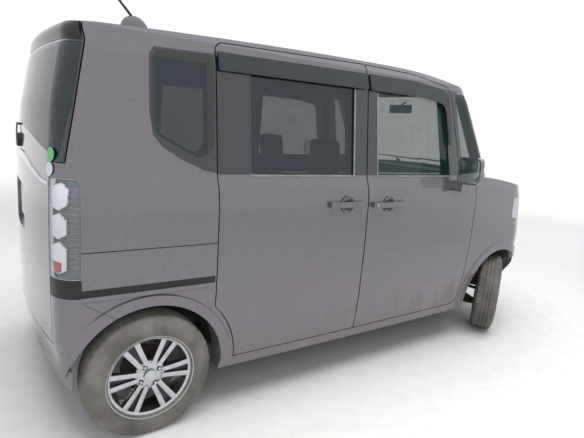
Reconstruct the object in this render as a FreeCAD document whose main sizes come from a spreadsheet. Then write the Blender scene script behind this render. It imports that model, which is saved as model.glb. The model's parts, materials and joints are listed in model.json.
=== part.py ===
import FreeCAD, Part
import math
import os
from types import SimpleNamespace

import Sketcher
from FreeCAD import Placement, Rotation, Vector

# A tall five-door kei car: X points forward, Y to the car's left, Z up.
# The origin lies on the ground under the middle of the body's length and width.

doc = FreeCAD.newDocument("KeiCar")
sheet = doc.addObject("Spreadsheet::Sheet", "Dims")

# Driving dimensions in millimetres and degrees: name, value
DIMENSIONS = [
    # Overall body
    ("body_length", 3395), ("body_width", 1475), ("roof_top", 1770), ("sill_bottom", 225),
    ("wheelbase", 2520), ("rear_overhang", 420), ("track", 1305),
    ("belt", 1145), ("widest_x", -120), ("side_bow_radius", 49300),
    ("tail_bow_radius", 3400), ("nose_bow_radius", 1500), ("screen_bow_radius", 2000),
    ("tail_corner", 110), ("nose_corner", 230), ("pillar_corner", 95),
    # Crowned roof and bonnet
    ("roof_crown_radius", 9200), ("roof_rear_radius", 30000), ("roof_front_radius", 2800),
    ("roof_apex_x", 150), ("roof_side", 540), ("roof_wall", 28),
    ("bonnet_crown_radius", 5000), ("bonnet_radius", 3200), ("bonnet_nose_radius", 260),
    ("bonnet_back_height", 1180), ("bonnet_back_x", 1071), ("bonnet_back_slope", 5.5),
    ("bonnet_break_x", 1500),
    # Panel layers and gaps
    ("door_wall", 60), ("body_wall", 90), ("panel_gap", 5), ("fender_wall", 25),
    ("bumper_wall", 50), ("bonnet_wall", 22), ("gate_wall", 60), ("glass_wall", 5),
    ("seal_lap", 30), ("running_fit", 0.3),
    # Doors in side view
    ("door_split_x", -120), ("slide_rear_x", -990), ("door_bottom", 281),
    ("door_top_front", 1679), ("door_top_rear", 1707), ("door_top_split", 1729),
    ("door_front_low_x", 812), ("door_front_mid_x", 836), ("door_front_x", 850),
    ("door_shoulder", 1105), ("frame_foot_x", 690), ("frame_head_x", 567),
    ("rear_arch_door_radius", 400), ("frame_inner", 525),
    # Windows
    ("front_glass_rear_x", -36), ("front_glass_foot_x", 585), ("front_glass_head_x", 515),
    ("slide_glass_rear_x", -827), ("slide_glass_front_x", -218), ("door_glass_top", 1655),
    ("glass_depth", 8), ("glass_seat", 10), ("visor_drop", 82), ("visor_stand", 14), ("visor_wall", 3),
    ("screen_foot_half", 598), ("screen_head_half", 556), ("screen_head", 1662),
    # Door handles
    ("cup_radius", 62), ("handle_reach", 34), ("handle_height", 30), ("handle_foot", 34),
    ("handle_grip", 13),
    # Front end
    ("bonnet_half", 597), ("bonnet_lip", 1003), ("lamp_bottom", 842), ("lamp_inner", 430),
    ("lamp_rear_x", 1322), ("lamp_depth", 70), ("bumper_lamp_x", 1332), ("bumper_arch_x", 1500),
    ("bumper_arch_height", 500), ("cowl_gap_x", 1167), ("cowl_wall", 24), ("cowl_half", 565),
    ("bonnet_hinge_x", 1066), ("bonnet_hinge_height", 1140), ("hinge_pin", 4),
    ("intake_half", 430), ("intake_low", 320), ("intake_high", 470), ("grille_depth", 30),
    ("grille_bar", 14),
    # Wheel openings
    ("front_arch_radius", 345), ("rear_arch_radius", 328), ("flare_width", 42),
    ("flare_stand", 9), ("front_well_inner", 405), ("rear_well_inner", 500), ("liner_wall", 6),
    # Tail
    ("gate_half", 605), ("gate_bottom", 465), ("gate_waist", 1190), ("gate_seam_x", -1512),
    ("gate_head_x", -1507), ("gate_foot_x", -1590), ("gate_head", 1640),
    ("bumper_shelf", 668), ("tail_lamp_x", -1547), ("tail_lamp_bottom", 746),
    ("tail_lamp_top", 1132), ("tail_lamp_depth", 60), ("rail_bottom", 672), ("rail_top", 705),
    ("rail_depth", 24), ("rail_front_x", -1000), ("spoiler_skin", 16),
    ("spoiler_half", 560), ("recess_half", 190), ("recess_low", 838), ("recess_high", 1046),
    ("recess_depth", 24),
    # Number plates: two screws a plate
    ("plate_half", 168), ("plate_flat", 9.5), ("plate_screw_half", 105), ("plate_screw_radius", 3),
    ("front_plate_height", 670), ("rear_plate_screw_height", 1000),
    # Floor
    ("floor_bottom", 240), ("floor_top", 300), ("kick_x", -900), ("load_floor", 480),
    ("load_floor_wall", 50), ("bulkhead_x", 885), ("bulkhead_wall", 18),
    # Wheels
    ("tyre_radius", 278),
    ("bead_radius", 178), ("rim_lip_radius", 191), ("rim_half_width", 75), ("rim_wall", 6),
    ("face_height", 60), ("face_dish", 12), ("face_wall", 16),
    ("hub_radius", 58), ("cap_radius", 27), ("lug_circle", 42), ("lug_hole", 7.5),
    ("bore_radius", 16), ("spoke_window_inner", 72), ("spoke_window_outer", 166),
    ("disc_radius", 112), ("disc_wall", 12), ("disc_offset", 18),
    # Front suspension and steering
    ("steer_rest", 33), ("strut_head_half", 548), ("strut_head", 800),
    ("ball_half", 612), ("ball_height", 176), ("damper_radius", 22), ("spring_radius", 56),
    ("arm_inner", 330), ("subframe_height", 190), ("tower_half", 110),
    ("throat_radius", 92), ("engine_bottom", 235), ("engine_top", 760), ("bore_end", 8),
    ("subframe_rear_x", 860), ("subframe_front_x", 1400), ("rack_x", 1060), ("rack_height", 330),
    ("rack_radius", 24), ("arm_height", 164), ("arm_wall", 16), ("engine_rear_x", 1110),
    ("engine_half", 270),
    # Rear axle, exhaust and tank
    ("beam_x", -1150), ("beam_height", 300), ("beam_radius", 28), ("pivot_x", -940), ("pivot_height", 330),
    ("pivot_half", 460), ("rear_spring_half", 400), ("rear_spring_radius", 48),
    ("pipe_half", 250), ("pipe_height", 210), ("pipe_radius", 22), ("tailpipe_radius", 17),
    ("silencer_x", -1430), ("silencer_height", 300), ("silencer_radius", 65), ("silencer_half", 280),
    ("tank_rear_x", -750), ("tank_front_x", -200), ("tank_right", 320), ("tank_left", 200),
    ("tank_bottom", 172),
    # Cabin
    ("seat_width", 560), ("seat_gap", 60), ("seat_pan", 480), ("knee_x", 425), ("knee_height", 590),
    ("cushion_top", 628), ("hip_x", 50), ("hip_height", 600), ("shoulder_x", -65), ("shoulder_height", 1130),
    ("backrest_x", -150), ("backrest_top", 1150), ("backrest_foot_x", -110),
    ("headrest_x", -115), ("headrest_low", 1165), ("post_radius", 6), ("post_half", 50),
    ("rear_seat_half", 480), ("rear_seat_pan", 481), ("rear_knee_x", -540), ("rear_hip_x", -950),
    ("rear_shoulder_x", -1030), ("rear_backrest_x", -1110), ("rear_backrest_top", 1095),
    ("rear_headrest_x", -1078), ("rear_headrest_low", 1115),
    ("dash_foot", 640), ("dash_face_x", 690), ("dash_face", 930), ("dash_brow", 1050),
    ("headrest_height", 190), ("headrest_width", 240), ("headrest_depth", 80),
    ("wheel_ring_radius", 180), ("wheel_ring_tube", 14), ("steer_wheel_x", 545),
    ("steer_wheel_y", -330), ("steer_wheel_height", 985), ("column_tilt", 62),
    ("column_radius", 34), ("column_pin", 11),
    # Mirrors
    ("mirror_x", 592), ("mirror_reach", 900), ("mirror_inner", 745), ("mirror_low", 1113),
    ("mirror_high", 1275), ("mirror_foot_low", 1062), ("mirror_root", 640),
]


class Size:
    """A number together with the sheet formula that gives it."""

    def __init__(self, number, formula):
        self.number = float(number)
        self.formula = formula

    def joined(self, other, sign, number):
        text = other.formula if isinstance(other, Size) else repr(other)
        return Size(number, "({} {} {})".format(self.formula, sign, text))

    def __float__(self):
        return self.number

    def __add__(self, other):
        return self.joined(other, "+", self.number + float(other))

    def __radd__(self, other):
        return self + other

    def __sub__(self, other):
        return self.joined(other, "-", self.number - float(other))

    def __rsub__(self, other):
        return -self + other

    def __mul__(self, other):
        return self.joined(other, "*", self.number * float(other))

    def __rmul__(self, other):
        return self * other

    def __truediv__(self, other):
        return self.joined(other, "/", self.number / float(other))

    def __neg__(self):
        return self * -1


def fill_sheet():
    """Write every driving dimension into the sheet and hand back the named sizes."""
    sizes = {}
    for row, (name, value) in enumerate(DIMENSIONS, start=1):
        sheet.set("A{}".format(row), name)
        sheet.set("B{}".format(row), str(value))
        sheet.setAlias("B{}".format(row), name)
        sizes[name] = Size(value, "Dims.{}".format(name))
    doc.recompute()
    return SimpleNamespace(**sizes)


d = fill_sheet()
half_length = d.body_length / 2
half_width = d.body_width / 2
rear_axle_x = d.rear_overhang - half_length
front_axle_x = rear_axle_x + d.wheelbase
wheel_y = d.track / 2
nodes = []

# Levels of the lower body: height, tuck of the side, tuck of the tail, tuck of the nose
LOWER_LEVELS = [
    (d.sill_bottom, 37, 62, 66), (320, 19, 26, 16), (480, 5, 2, 0), (720, 0, 0, 4),
    (1000, 3, 2, 45), (1080, 13, 5, 70), (d.belt, 37.5, 8, 97), (d.belt + 55, 65, 13, 127),
]
# Levels of the glasshouse: height, tuck of the side, tuck of the tail, windscreen at the middle
UPPER_LEVELS = [
    (d.belt, 37.5, 8, 1133), (1400, 69.5, 31, 998), (1610, 96, 73, 880),
    (1700, 122, 111, 826), (d.roof_top + 20, 192, 182, 770),
]
# A face deeper than this follows every other level, so the hidden side of a wall stays plain
PLAIN_DEPTH = 20.0
LOWER_INNER_LEVELS = [LOWER_LEVELS[row] for row in (0, 2, 4, 7)]
UPPER_INNER_LEVELS = [UPPER_LEVELS[row] for row in (0, 2, 4)]
FAR = 3000.0
SIDE = 1000.0


def vec(x, y, z):
    """A vector from sizes or plain numbers."""
    return Vector(float(x), float(y), float(z))


def arc(first, middle, last):
    return Part.Arc(first, middle, last).toShape()


def mirrored(shape):
    """The same piece on the other side of the car."""
    return shape.mirror(Vector(0, 0, 0), Vector(0, 1, 0))


def publish(name, shape, place=None):
    """Add a sub-part whose shape is worked out with Part's own functions."""
    piece = doc.addObject("Part::Feature", name)
    piece.Label = name
    piece.Shape = shape
    piece.Placement = place or Placement()
    nodes.append(piece)
    return piece


# Outlines and prisms


def rounded_wire(corners, place):
    """Closed wire through (a, b, radius) corners, laid in space by place(a, b)."""
    count = len(corners)
    arcs = []
    for index, (a, b, radius) in enumerate(corners):
        here = Vector(float(a), float(b), 0)
        before = Vector(float(corners[index - 1][0]), float(corners[index - 1][1]), 0)
        after = Vector(float(corners[(index + 1) % count][0]), float(corners[(index + 1) % count][1]), 0)
        back = (before - here).normalize()
        ahead = (after - here).normalize()
        if float(radius) == 0:
            arcs.append((here, None, here))
            continue
        half = back.getAngle(ahead) / 2
        run = float(radius) / math.tan(half)
        middle = here + (back + ahead).normalize() * (float(radius) / math.sin(half) - float(radius))
        arcs.append((here + back * run, middle, here + ahead * run))
    edges = []
    for index, (start, middle, end) in enumerate(arcs):
        if middle is not None:
            edges.append(arc(place(start.x, start.y), place(middle.x, middle.y), place(end.x, end.y)))
        following = arcs[(index + 1) % count][0]
        if (following - end).Length > 1e-6:
            edges.append(Part.LineSegment(place(end.x, end.y), place(following.x, following.y)).toShape())
    return Part.Wire(edges)


def side_prism(corners, low=-SIDE, high=0.0, grow=0.0):
    """Prism across the car from an outline in side view, corners as (x, z, radius)."""
    face = Part.Face(rounded_wire(corners, lambda a, b: Vector(a, float(low), b)))
    if float(grow) != 0:
        face = Part.Face(face.makeOffset2D(float(grow), join=2).Wires[0])
    return face.extrude(Vector(0, float(high) - float(low), 0))


def end_prism(corners, low, high, grow=0.0):
    """Prism along the car from an outline in end view, corners as (y, z, radius)."""
    face = Part.Face(rounded_wire(corners, lambda a, b: Vector(float(low), a, b)))
    if float(grow) != 0:
        face = Part.Face(face.makeOffset2D(float(grow), join=2).Wires[0])
    return face.extrude(Vector(float(high) - float(low), 0, 0))


def block(x0, x1, y0, y1, z0, z1):
    """A box between two corners."""
    return Part.makeBox(float(x1) - float(x0), float(y1) - float(y0), float(z1) - float(z0), vec(x0, y0, z0))


def across(radius, x, z, y0, y1):
    """A cylinder across the car."""
    return Part.makeCylinder(float(radius), float(y1) - float(y0), vec(x, y0, z), Vector(0, 1, 0))


# Body forms


def plan_corner(side_centre_y, side_radius, end_x, end_radius, corner, sign):
    """Arc of radius corner that meets the bowed side and the bowed end smoothly."""
    side_centre = Vector(float(d.widest_x), side_centre_y, 0)
    end_centre = Vector(end_x - sign * end_radius, 0, 0)
    to_side = side_radius - corner
    to_end = end_radius - corner
    line = end_centre - side_centre
    along = (to_side ** 2 - to_end ** 2 + line.Length ** 2) / (2 * line.Length)
    off = math.sqrt(to_side ** 2 - along ** 2)
    line.normalize()
    across_line = Vector(line.y, -line.x, 0)
    foot = side_centre + line * along
    centre = max((foot + across_line * off, foot - across_line * off), key=lambda spot: sign * spot.x)
    on_side = side_centre + (centre - side_centre) * (side_radius / to_side)
    on_end = end_centre + (centre - end_centre) * (end_radius / to_end)
    outward = (on_side + on_end - centre * 2).normalize()
    return on_side, centre + outward * corner, on_end


def half_bow(end_x, end_radius, sign, last, height):
    """Half of the bowed nose or tail, from the car's middle to the corner."""
    turn = math.asin(abs(last.y) / end_radius) / 2
    middle_x = end_x - sign * end_radius * (1 - math.cos(turn))
    middle = Vector(middle_x, -end_radius * math.sin(turn), height)
    return Vector(end_x, 0, height), middle, Vector(last.x, last.y, height)


def plan_wire(height, half, tail_x, nose_x, tail_bow, nose_bow, tail_corner, nose_corner):
    """Plan outline of the body's right half at one height: bows joined by corner arcs."""
    side_radius = float(d.side_bow_radius)
    centre_y = side_radius - half
    front_corner = plan_corner(centre_y, side_radius, nose_x, nose_bow, nose_corner, 1)
    rear_corner = plan_corner(centre_y, side_radius, tail_x, tail_bow, tail_corner, -1)
    front = [Vector(p.x, p.y, height) for p in front_corner]
    rear = [Vector(p.x, p.y, height) for p in rear_corner]
    nose = half_bow(nose_x, nose_bow, 1, front[2], height)
    tail = half_bow(tail_x, tail_bow, -1, rear[2], height)
    return Part.Wire([
        arc(*nose), arc(front[2], front[1], front[0]),
        arc(front[0], Vector(float(d.widest_x), -half, height), rear[0]),
        arc(rear[0], rear[1], rear[2]), arc(tail[2], tail[1], tail[0]),
        Part.LineSegment(tail[0], nose[0]).toShape(),
    ])


def lower_form(depth=0.0):
    """The right half of the lower body, its skin moved inwards by depth."""
    depth = float(depth)
    wires = []
    for height, side, tail, nose in LOWER_LEVELS if depth < PLAIN_DEPTH else LOWER_INNER_LEVELS:
        wires.append(plan_wire(
            float(height), float(half_width) - side - depth, tail + depth - float(half_length),
            float(half_length) - nose - depth, float(d.tail_bow_radius), float(d.nose_bow_radius),
            max(float(d.tail_corner) - depth, 12.0), float(d.nose_corner) - depth))
    return Part.makeLoft(wires, True, True)


def upper_form(depth=0.0):
    """The right half of the glasshouse under its crowned roof, moved inwards by depth."""
    depth = float(depth)
    wires = []
    for height, side, tail, screen_x in UPPER_LEVELS if depth < PLAIN_DEPTH else UPPER_INNER_LEVELS:
        wires.append(plan_wire(
            float(height), float(half_width) - side - depth, tail + depth - float(half_length),
            screen_x - depth, float(d.tail_bow_radius), float(d.screen_bow_radius),
            max(float(d.tail_corner) - depth, 12.0), max(float(d.pillar_corner) - depth, 12.0)))
    return Part.makeLoft(wires, True, True).common(roof_form(depth))


def crowned_sector(centre_x, centre_z, radius, crown_radius, start, turn, floor):
    """Block under a crowned arc: a crowned section turned about an axis across the car."""
    crown_half = 900.0
    fall = crown_radius - math.sqrt(crown_radius ** 2 - crown_half ** 2)
    top = centre_z + radius
    left, right = Vector(centre_x, crown_half, top - fall), Vector(centre_x, -crown_half, top - fall)
    left_foot, right_foot = Vector(centre_x, crown_half, floor), Vector(centre_x, -crown_half, floor)
    section = Part.Wire([
        arc(right, Vector(centre_x, 0, top), left), Part.LineSegment(left, left_foot).toShape(),
        Part.LineSegment(left_foot, right_foot).toShape(), Part.LineSegment(right_foot, right).toShape(),
    ])
    face = Part.Face(section)
    axis = Vector(centre_x, 0, centre_z)
    face.rotate(axis, Vector(0, 1, 0), start)
    return face.revolve(axis, Vector(0, 1, 0), turn)


def roof_form(depth=0.0):
    """Everything under the roof: a long flat arc to the tail, a tighter one to the windscreen."""
    top = float(d.roof_top) - float(depth)
    rear = float(d.roof_rear_radius) - float(depth)
    front = float(d.roof_front_radius) - float(depth)
    crown = float(d.roof_crown_radius)
    long_arc = crowned_sector(float(d.roof_apex_x), top - rear, rear, crown, -4.2, 4.2, top - 900)
    short_arc = crowned_sector(float(d.roof_apex_x), top - front, front, crown, 0, 28, top - 900)
    return long_arc.fuse(short_arc)


def bonnet_form(depth=0.0):
    """Everything under the bonnet line: one long arc, then a tight arc over the nose."""
    depth = float(depth)
    slope = math.radians(float(d.bonnet_back_slope))
    long_radius = float(d.bonnet_radius)
    nose_radius = float(d.bonnet_nose_radius)
    centre_x = float(d.bonnet_back_x) - long_radius * math.sin(slope)
    centre_z = float(d.bonnet_back_height) - long_radius * math.cos(slope)
    lean = math.asin((float(d.bonnet_break_x) - centre_x) / long_radius)
    nose_x = centre_x + (long_radius - nose_radius) * math.sin(lean)
    nose_z = centre_z + (long_radius - nose_radius) * math.cos(lean)
    crown = float(d.bonnet_crown_radius)
    floor = float(d.sill_bottom) - 40
    long_arc = crowned_sector(centre_x, centre_z, long_radius - depth, crown, -6, 6 + math.degrees(lean), 0)
    nose_arc = crowned_sector(
        nose_x, nose_z, nose_radius - depth, crown, math.degrees(lean), 90 - math.degrees(lean), nose_z)
    under = block(centre_x - 200, nose_x + nose_radius + 200, -900, 900, floor, nose_z)
    return long_arc.fuse([nose_arc, under])


lower_skin = lower_form()
lower_door = lower_form(d.door_wall)
lower_wall = lower_form(d.body_wall)
upper_skin = upper_form()
upper_door = upper_form(d.door_wall)
upper_wall = upper_form(d.body_wall)
nose_skin = lower_skin.common(bonnet_form())
below_belt = block(-FAR, FAR, -SIDE, SIDE, 0, d.belt)
above_belt = block(-FAR, FAR, -SIDE, SIDE, d.belt, FAR)
lower_seal = lower_form(d.door_wall + d.panel_gap)
upper_seal = upper_form(d.door_wall + d.panel_gap)


def panel(prism, lower_inner, upper_inner):
    """The stretch of the body's layer inside a prism, from the sill to the roof."""
    low = lower_skin.common(prism).common(below_belt).cut(lower_inner)
    high = upper_skin.common(prism).common(above_belt).cut(upper_inner)
    return low.fuse(high).removeSplitter()


# Outlines in side view, as (x, z, corner radius)
GAP = float(d.panel_gap)
DOOR_GAP = GAP + 2
front_door_corners = [
    (d.door_split_x + DOOR_GAP / 2, d.door_bottom, 0), (d.door_front_low_x - 34, d.door_bottom, 0),
    (d.door_front_low_x - 4, d.door_bottom + 30, 0),
    (d.door_front_mid_x, 500, 300), (d.door_front_x, 760, 300), (d.door_front_x, d.door_shoulder, 24),
    (d.frame_foot_x, d.belt, 30), (d.frame_head_x, d.door_top_front, 60), (260, 1724, 900),
    (d.door_split_x + DOOR_GAP / 2, d.door_top_split, 12),
]
slide_door_corners = [
    (d.slide_rear_x, d.door_bottom, 0), (d.door_split_x - DOOR_GAP / 2, d.door_bottom, 0),
    (d.door_split_x - DOOR_GAP / 2, d.door_top_split, 12), (d.slide_rear_x, d.door_top_rear, 40),
]
front_glass_corners = [
    (d.front_glass_rear_x, d.belt + 6, 12), (d.front_glass_foot_x, d.belt + 6, 20),
    (d.front_glass_head_x, d.door_glass_top - 18, 55), (260, d.door_glass_top + 14, 900),
    (d.front_glass_rear_x - 26, d.door_glass_top + 14, 25),
]
slide_glass_corners = [
    (d.slide_glass_rear_x, d.belt + 6, 30), (d.slide_glass_front_x, d.belt + 6, 12),
    (d.slide_glass_front_x, d.door_glass_top + 12, 25), (d.slide_glass_rear_x, d.door_glass_top, 30),
]
quarter_glass_corners = [
    (d.slide_rear_x - 16, 1178, 70), (d.slide_rear_x - 14, 1650, 25), (-1262, 1640, 45), (-1274, 1318, 80),
]
corner_glass_corners = [
    (712, d.belt + 20, 20), (985, d.belt + 20, 25), (716, 1652, 22), (606, 1646, 18),
]
fender_corners = [
    (d.door_front_low_x + GAP, d.sill_bottom - 5, 0), (d.bumper_arch_x, d.sill_bottom - 5, 0),
    (d.bumper_arch_x, d.bumper_arch_height, 0), (d.bumper_lamp_x, d.lamp_bottom, 0),
    (d.lamp_rear_x, d.bonnet_lip - GAP, 0), (half_length + 50, d.bonnet_lip - GAP, 0),
    (half_length + 50, d.belt + 100, 0), (d.door_front_x + GAP, d.belt + 100, 0),
    (d.door_front_x + GAP, 760, 0), (d.door_front_mid_x + GAP, 500, 0),
]
lamp_corners = [
    (d.bumper_lamp_x, d.lamp_bottom, 0), (half_length + 50, d.lamp_bottom, 0),
    (half_length + 50, d.bonnet_lip - GAP, 0), (d.lamp_rear_x, d.bonnet_lip - GAP, 0),
]
bumper_corners = [
    (d.bumper_arch_x, d.sill_bottom - 5, 0), (half_length + 50, d.sill_bottom - 5, 0),
    (half_length + 50, d.lamp_bottom, 0), (d.bumper_lamp_x, d.lamp_bottom, 0),
    (d.bumper_arch_x, d.bumper_arch_height, 0),
]
rear_bumper_corners = [
    (-half_length - 50, d.sill_bottom - 5, 0), (-1400, d.sill_bottom - 5, 0), (-1400, 558, 0),
    (-1414, 566, 0), (-1535, 643, 0), (-1551, d.bumper_shelf, 0), (-half_length - 50, d.bumper_shelf, 0),
]
gate_side_corners = [
    (d.gate_foot_x, d.gate_waist, 0), (d.gate_head_x, d.gate_head, 0), (d.gate_seam_x, d.gate_head + 40, 0),
    (d.gate_seam_x, d.roof_top + 40, 0), (-half_length - 60, d.roof_top + 40, 0),
    (-half_length - 60, d.gate_waist, 0),
]
rear_glass_corners = [
    (-640, 1207, 0), (0, 1207 + 130, 1900), (640, 1207, 0), (640, d.gate_head - 12, 0),
    (-640, d.gate_head - 12, 0),
]


def front_door_prism(grow=0.0):
    return side_prism(front_door_corners, high=-d.frame_inner, grow=grow)


def slide_door_prism(grow=0.0):
    """The sliding door's outline, its rear corner cut back round the wheel opening."""
    around_wheel = across(d.rear_arch_door_radius - grow, rear_axle_x, d.tyre_radius, -SIDE, 0)
    return side_prism(slide_door_corners, high=-d.frame_inner, grow=grow).cut(around_wheel)


def gate_prism(grow=0.0):
    """The tailgate: a panel between the tail lamps and a glasshouse that wraps to the sides."""
    grow = float(grow)
    top = side_prism(gate_side_corners, -SIDE, SIDE, grow)
    low = block(-FAR, -1300, -d.gate_half - grow, d.gate_half + grow, d.gate_bottom - grow, d.gate_waist + 1)
    return top.fuse(low)


def screen_prism(grow=0.0):
    corners = [
        (-d.screen_foot_half, d.belt - 60, 0), (d.screen_foot_half, d.belt - 60, 0),
        (d.screen_head_half, d.screen_head, 60), (-d.screen_head_half, d.screen_head, 60),
    ]
    return end_prism(corners, 600, 1300, grow)


front_arch = across(d.front_arch_radius, front_axle_x, d.tyre_radius, -SIDE, -d.front_well_inner)
rear_arch = across(d.rear_arch_radius, rear_axle_x, d.tyre_radius, -SIDE, -d.rear_well_inner)


def flare(form, x, radius):
    """Raised lip round a wheel opening, tapering into the skin."""
    reach = float(radius) + float(d.flare_width)
    cone = Part.makeCone(reach + 20, reach - 12, 60, vec(x, -half_width + 40, d.tyre_radius),
                         Vector(0, -1, 0))
    ring = form.common(cone).cut(across(radius, x, d.tyre_radius, -SIDE, 0))
    return ring.cut(block(-FAR, FAR, -SIDE, SIDE, 0, d.sill_bottom + 30))


proud_form = lower_form(-d.flare_stand)
front_flare = flare(proud_form, front_axle_x, d.front_arch_radius)
rear_flare = flare(proud_form, rear_axle_x, d.rear_arch_radius)
rail_prism = side_prism([
    (-half_length - 50, d.rail_bottom, 0), (d.rail_front_x, d.rail_bottom, 6),
    (d.rail_front_x, d.rail_top, 6),
    (d.tail_lamp_x, d.rail_top, 0), (d.tail_lamp_x, d.tail_lamp_bottom, 0),
    (-half_length - 50, d.tail_lamp_bottom, 0),
])
tail_lamp_prism = side_prism([
    (-half_length - 50, d.tail_lamp_bottom, 0), (d.tail_lamp_x - 4, d.tail_lamp_bottom, 0),
    (d.tail_lamp_x + 4, d.tail_lamp_top, 25), (-half_length - 50, d.tail_lamp_top, 0),
])
outside_gate = block(-FAR, FAR, -SIDE, -d.gate_half - GAP, 0, FAR)
rail_floor = lower_form(d.rail_depth)
lamp_floor = lower_form(d.tail_lamp_depth)


def build_body_side():
    """Quarter panel, sill, roof rail and pillars: one thick ring round two door openings."""
    side = panel(block(-FAR, d.bulkhead_x, -SIDE, 0, 0, FAR), lower_wall, upper_wall)
    pillar = upper_skin.common(block(d.bulkhead_x, FAR, -SIDE, 0, d.belt, FAR)).cut(upper_wall)
    side = side.fuse(pillar)
    cutters = [block(-FAR, FAR, -d.roof_side, 1, d.belt, FAR), screen_prism(), gate_prism(d.panel_gap)]
    for prism in (front_door_prism(d.panel_gap), slide_door_prism(d.panel_gap)):
        cutters.append(prism.common(below_belt).cut(lower_seal))
        cutters.append(prism.common(above_belt).cut(upper_seal))
    cutters += [front_door_prism(-d.seal_lap), slide_door_prism(-d.seal_lap)]
    cutters.append(side_prism(fender_corners).common(below_belt).cut(lower_form(d.fender_wall)))
    cutters.append(side_prism(rear_bumper_corners))
    cutters.append(tail_lamp_prism.common(outside_gate).cut(lamp_floor))
    cutters.append(rail_prism.cut(rail_floor))
    glass_floor = upper_form(d.glass_wall)
    for corners in (quarter_glass_corners, corner_glass_corners):
        cutters.append(side_prism(corners, grow=-14))
        cutters.append(side_prism(corners).cut(glass_floor))
    lip = rear_flare.cut([lower_form(d.fender_wall), side_prism(rear_bumper_corners),
                          slide_door_prism(d.panel_gap)])
    return side.cut(cutters).fuse(lip).cut([rear_arch, front_arch]).removeSplitter()


def cup_handle(skin, x0, x1, z):
    """A round finger cup in the door skin under a pull bar; returns the cutter and the bar."""
    middle = (float(x0) + float(x1)) / 2
    surface = -skin.common(Part.makeBox(1, SIDE, 1, vec(middle, -SIDE, z))).optimalBoundingBox().YMin
    cup = Part.makeSphere(float(d.cup_radius))
    cup.translate(Vector(middle, -surface - float(d.cup_radius) * 0.62, float(z)))
    length = float(x1) - float(x0)
    bar = Part.makeBox(length, float(d.handle_reach) + 4, float(d.handle_height),
                       Vector(float(x0), -surface - float(d.handle_reach),
                              float(z) - float(d.handle_height) / 2))
    upright = [edge for edge in bar.Edges if edge.BoundBox.ZLength > 1 and edge.BoundBox.YMax < -surface]
    bar = bar.makeFillet(float(d.handle_reach) * 0.6, upright)
    finger_room = Part.makeBox(
        length - 2 * float(d.handle_foot), float(d.handle_reach), float(d.handle_height) + 2,
        vec(x0 + d.handle_foot, -surface - d.handle_reach + d.handle_grip, z - d.handle_height / 2 - 1))
    bar = bar.cut(finger_room)
    return cup, bar


def build_door(prism, glass_corners, handle_x0, handle_x1, handle_z):
    """A door as thick as its inner trim, with its window cut through and its pull handle."""
    door = panel(prism, lower_door, upper_door)
    window = side_prism(glass_corners, grow=-d.glass_seat)
    seat = side_prism(glass_corners).common(above_belt).cut(upper_form(d.glass_depth + d.glass_wall))
    cup, bar = cup_handle(lower_skin, handle_x0, handle_x1, handle_z)
    under_roof = block(-FAR, FAR, -d.roof_side - DOOR_GAP, 0, d.belt, FAR)
    return door.cut([window, seat, cup, under_roof]).fuse(bar).removeSplitter()


def build_window(corners):
    """Pane of a side window, set back from the skin."""
    outer = upper_form(d.glass_depth)
    return side_prism(corners).common(above_belt).common(outer).cut(upper_form(d.glass_depth + d.glass_wall))


def flush_window(corners):
    """Pane bonded level with the skin."""
    return side_prism(corners).common(upper_skin).cut(upper_form(d.glass_wall))


def build_visor(x0, x1, corners):
    """Smoked rain visor: a thin shield standing off the window, closed onto the door frame above."""
    proud = upper_form(-d.visor_stand)
    inside = upper_form(d.visor_wall - d.visor_stand)
    band = side_prism(corners)
    root = band.common(block(x0, x1, -SIDE, 0, d.door_glass_top + 6, FAR))
    shield = band.common(proud).cut(inside)
    return shield.fuse(root.common(proud).cut(upper_skin)).removeSplitter()


body_side = build_body_side()
publish("body_side_right", body_side)
publish("body_side_left", mirrored(body_side))

slide_door = build_door(slide_door_prism(), slide_glass_corners, -390, -153, 1007)
publish("slide_door_right", slide_door)
publish("slide_door_left", mirrored(slide_door))
slide_glass = build_window(slide_glass_corners)
publish("slide_door_glass", Part.makeCompound([slide_glass, mirrored(slide_glass)]))
visor_low = d.door_glass_top + 12 - d.visor_drop
visor_high = d.door_glass_top + 18
slide_visor = build_visor(-FAR, FAR, [
    (-985, visor_low + 6, 10), (d.door_split_x - 8, visor_low + 14, 10),
    (d.door_split_x - 8, visor_high + 8, 6), (-985, visor_high - 6, 20)])
publish("slide_door_visors", Part.makeCompound([slide_visor, mirrored(slide_visor)]))
front_visor = build_visor(-FAR, FAR, [
    (d.door_split_x + 8, visor_low + 14, 10), (300, visor_low + 14, 300),
    (d.front_glass_head_x - 12, visor_low - 10, 60),
    (d.front_glass_foot_x - 24, d.belt + 190, 10), (d.front_glass_foot_x - 2, d.belt + 194, 10),
    (d.front_glass_head_x + 24, visor_high - 16, 60), (260, visor_high + 12, 900),
    (d.door_split_x + 8, visor_high + 9, 6)])
front_door = build_door(front_door_prism(), front_glass_corners, -95, 155, 998)
front_glass = build_window(front_glass_corners)
for side_name, place in (("right", lambda shape: shape), ("left", mirrored)):
    publish("front_door_" + side_name, place(front_door))
    publish("front_door_glass_" + side_name, place(front_glass))
    publish("front_door_visor_" + side_name, place(front_visor))
quarter = flush_window(quarter_glass_corners)
corner = flush_window(corner_glass_corners)
publish("quarter_glass", Part.makeCompound([quarter, mirrored(quarter)]))
publish("corner_glass", Part.makeCompound([corner, mirrored(corner)]))


# Front end


def both(shape):
    """A right half and its mirror image joined into one piece across the middle."""
    return shape.fuse(mirrored(shape)).removeSplitter()


def pair(shape):
    """Two pieces that don't touch, one on each side of the car."""
    return Part.makeCompound([shape, mirrored(shape)])


nose_box = block(600, FAR, -SIDE, 0, 0, FAR)
outboard = block(600, FAR, -SIDE, -d.bonnet_half - GAP, 0, FAR)


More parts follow.
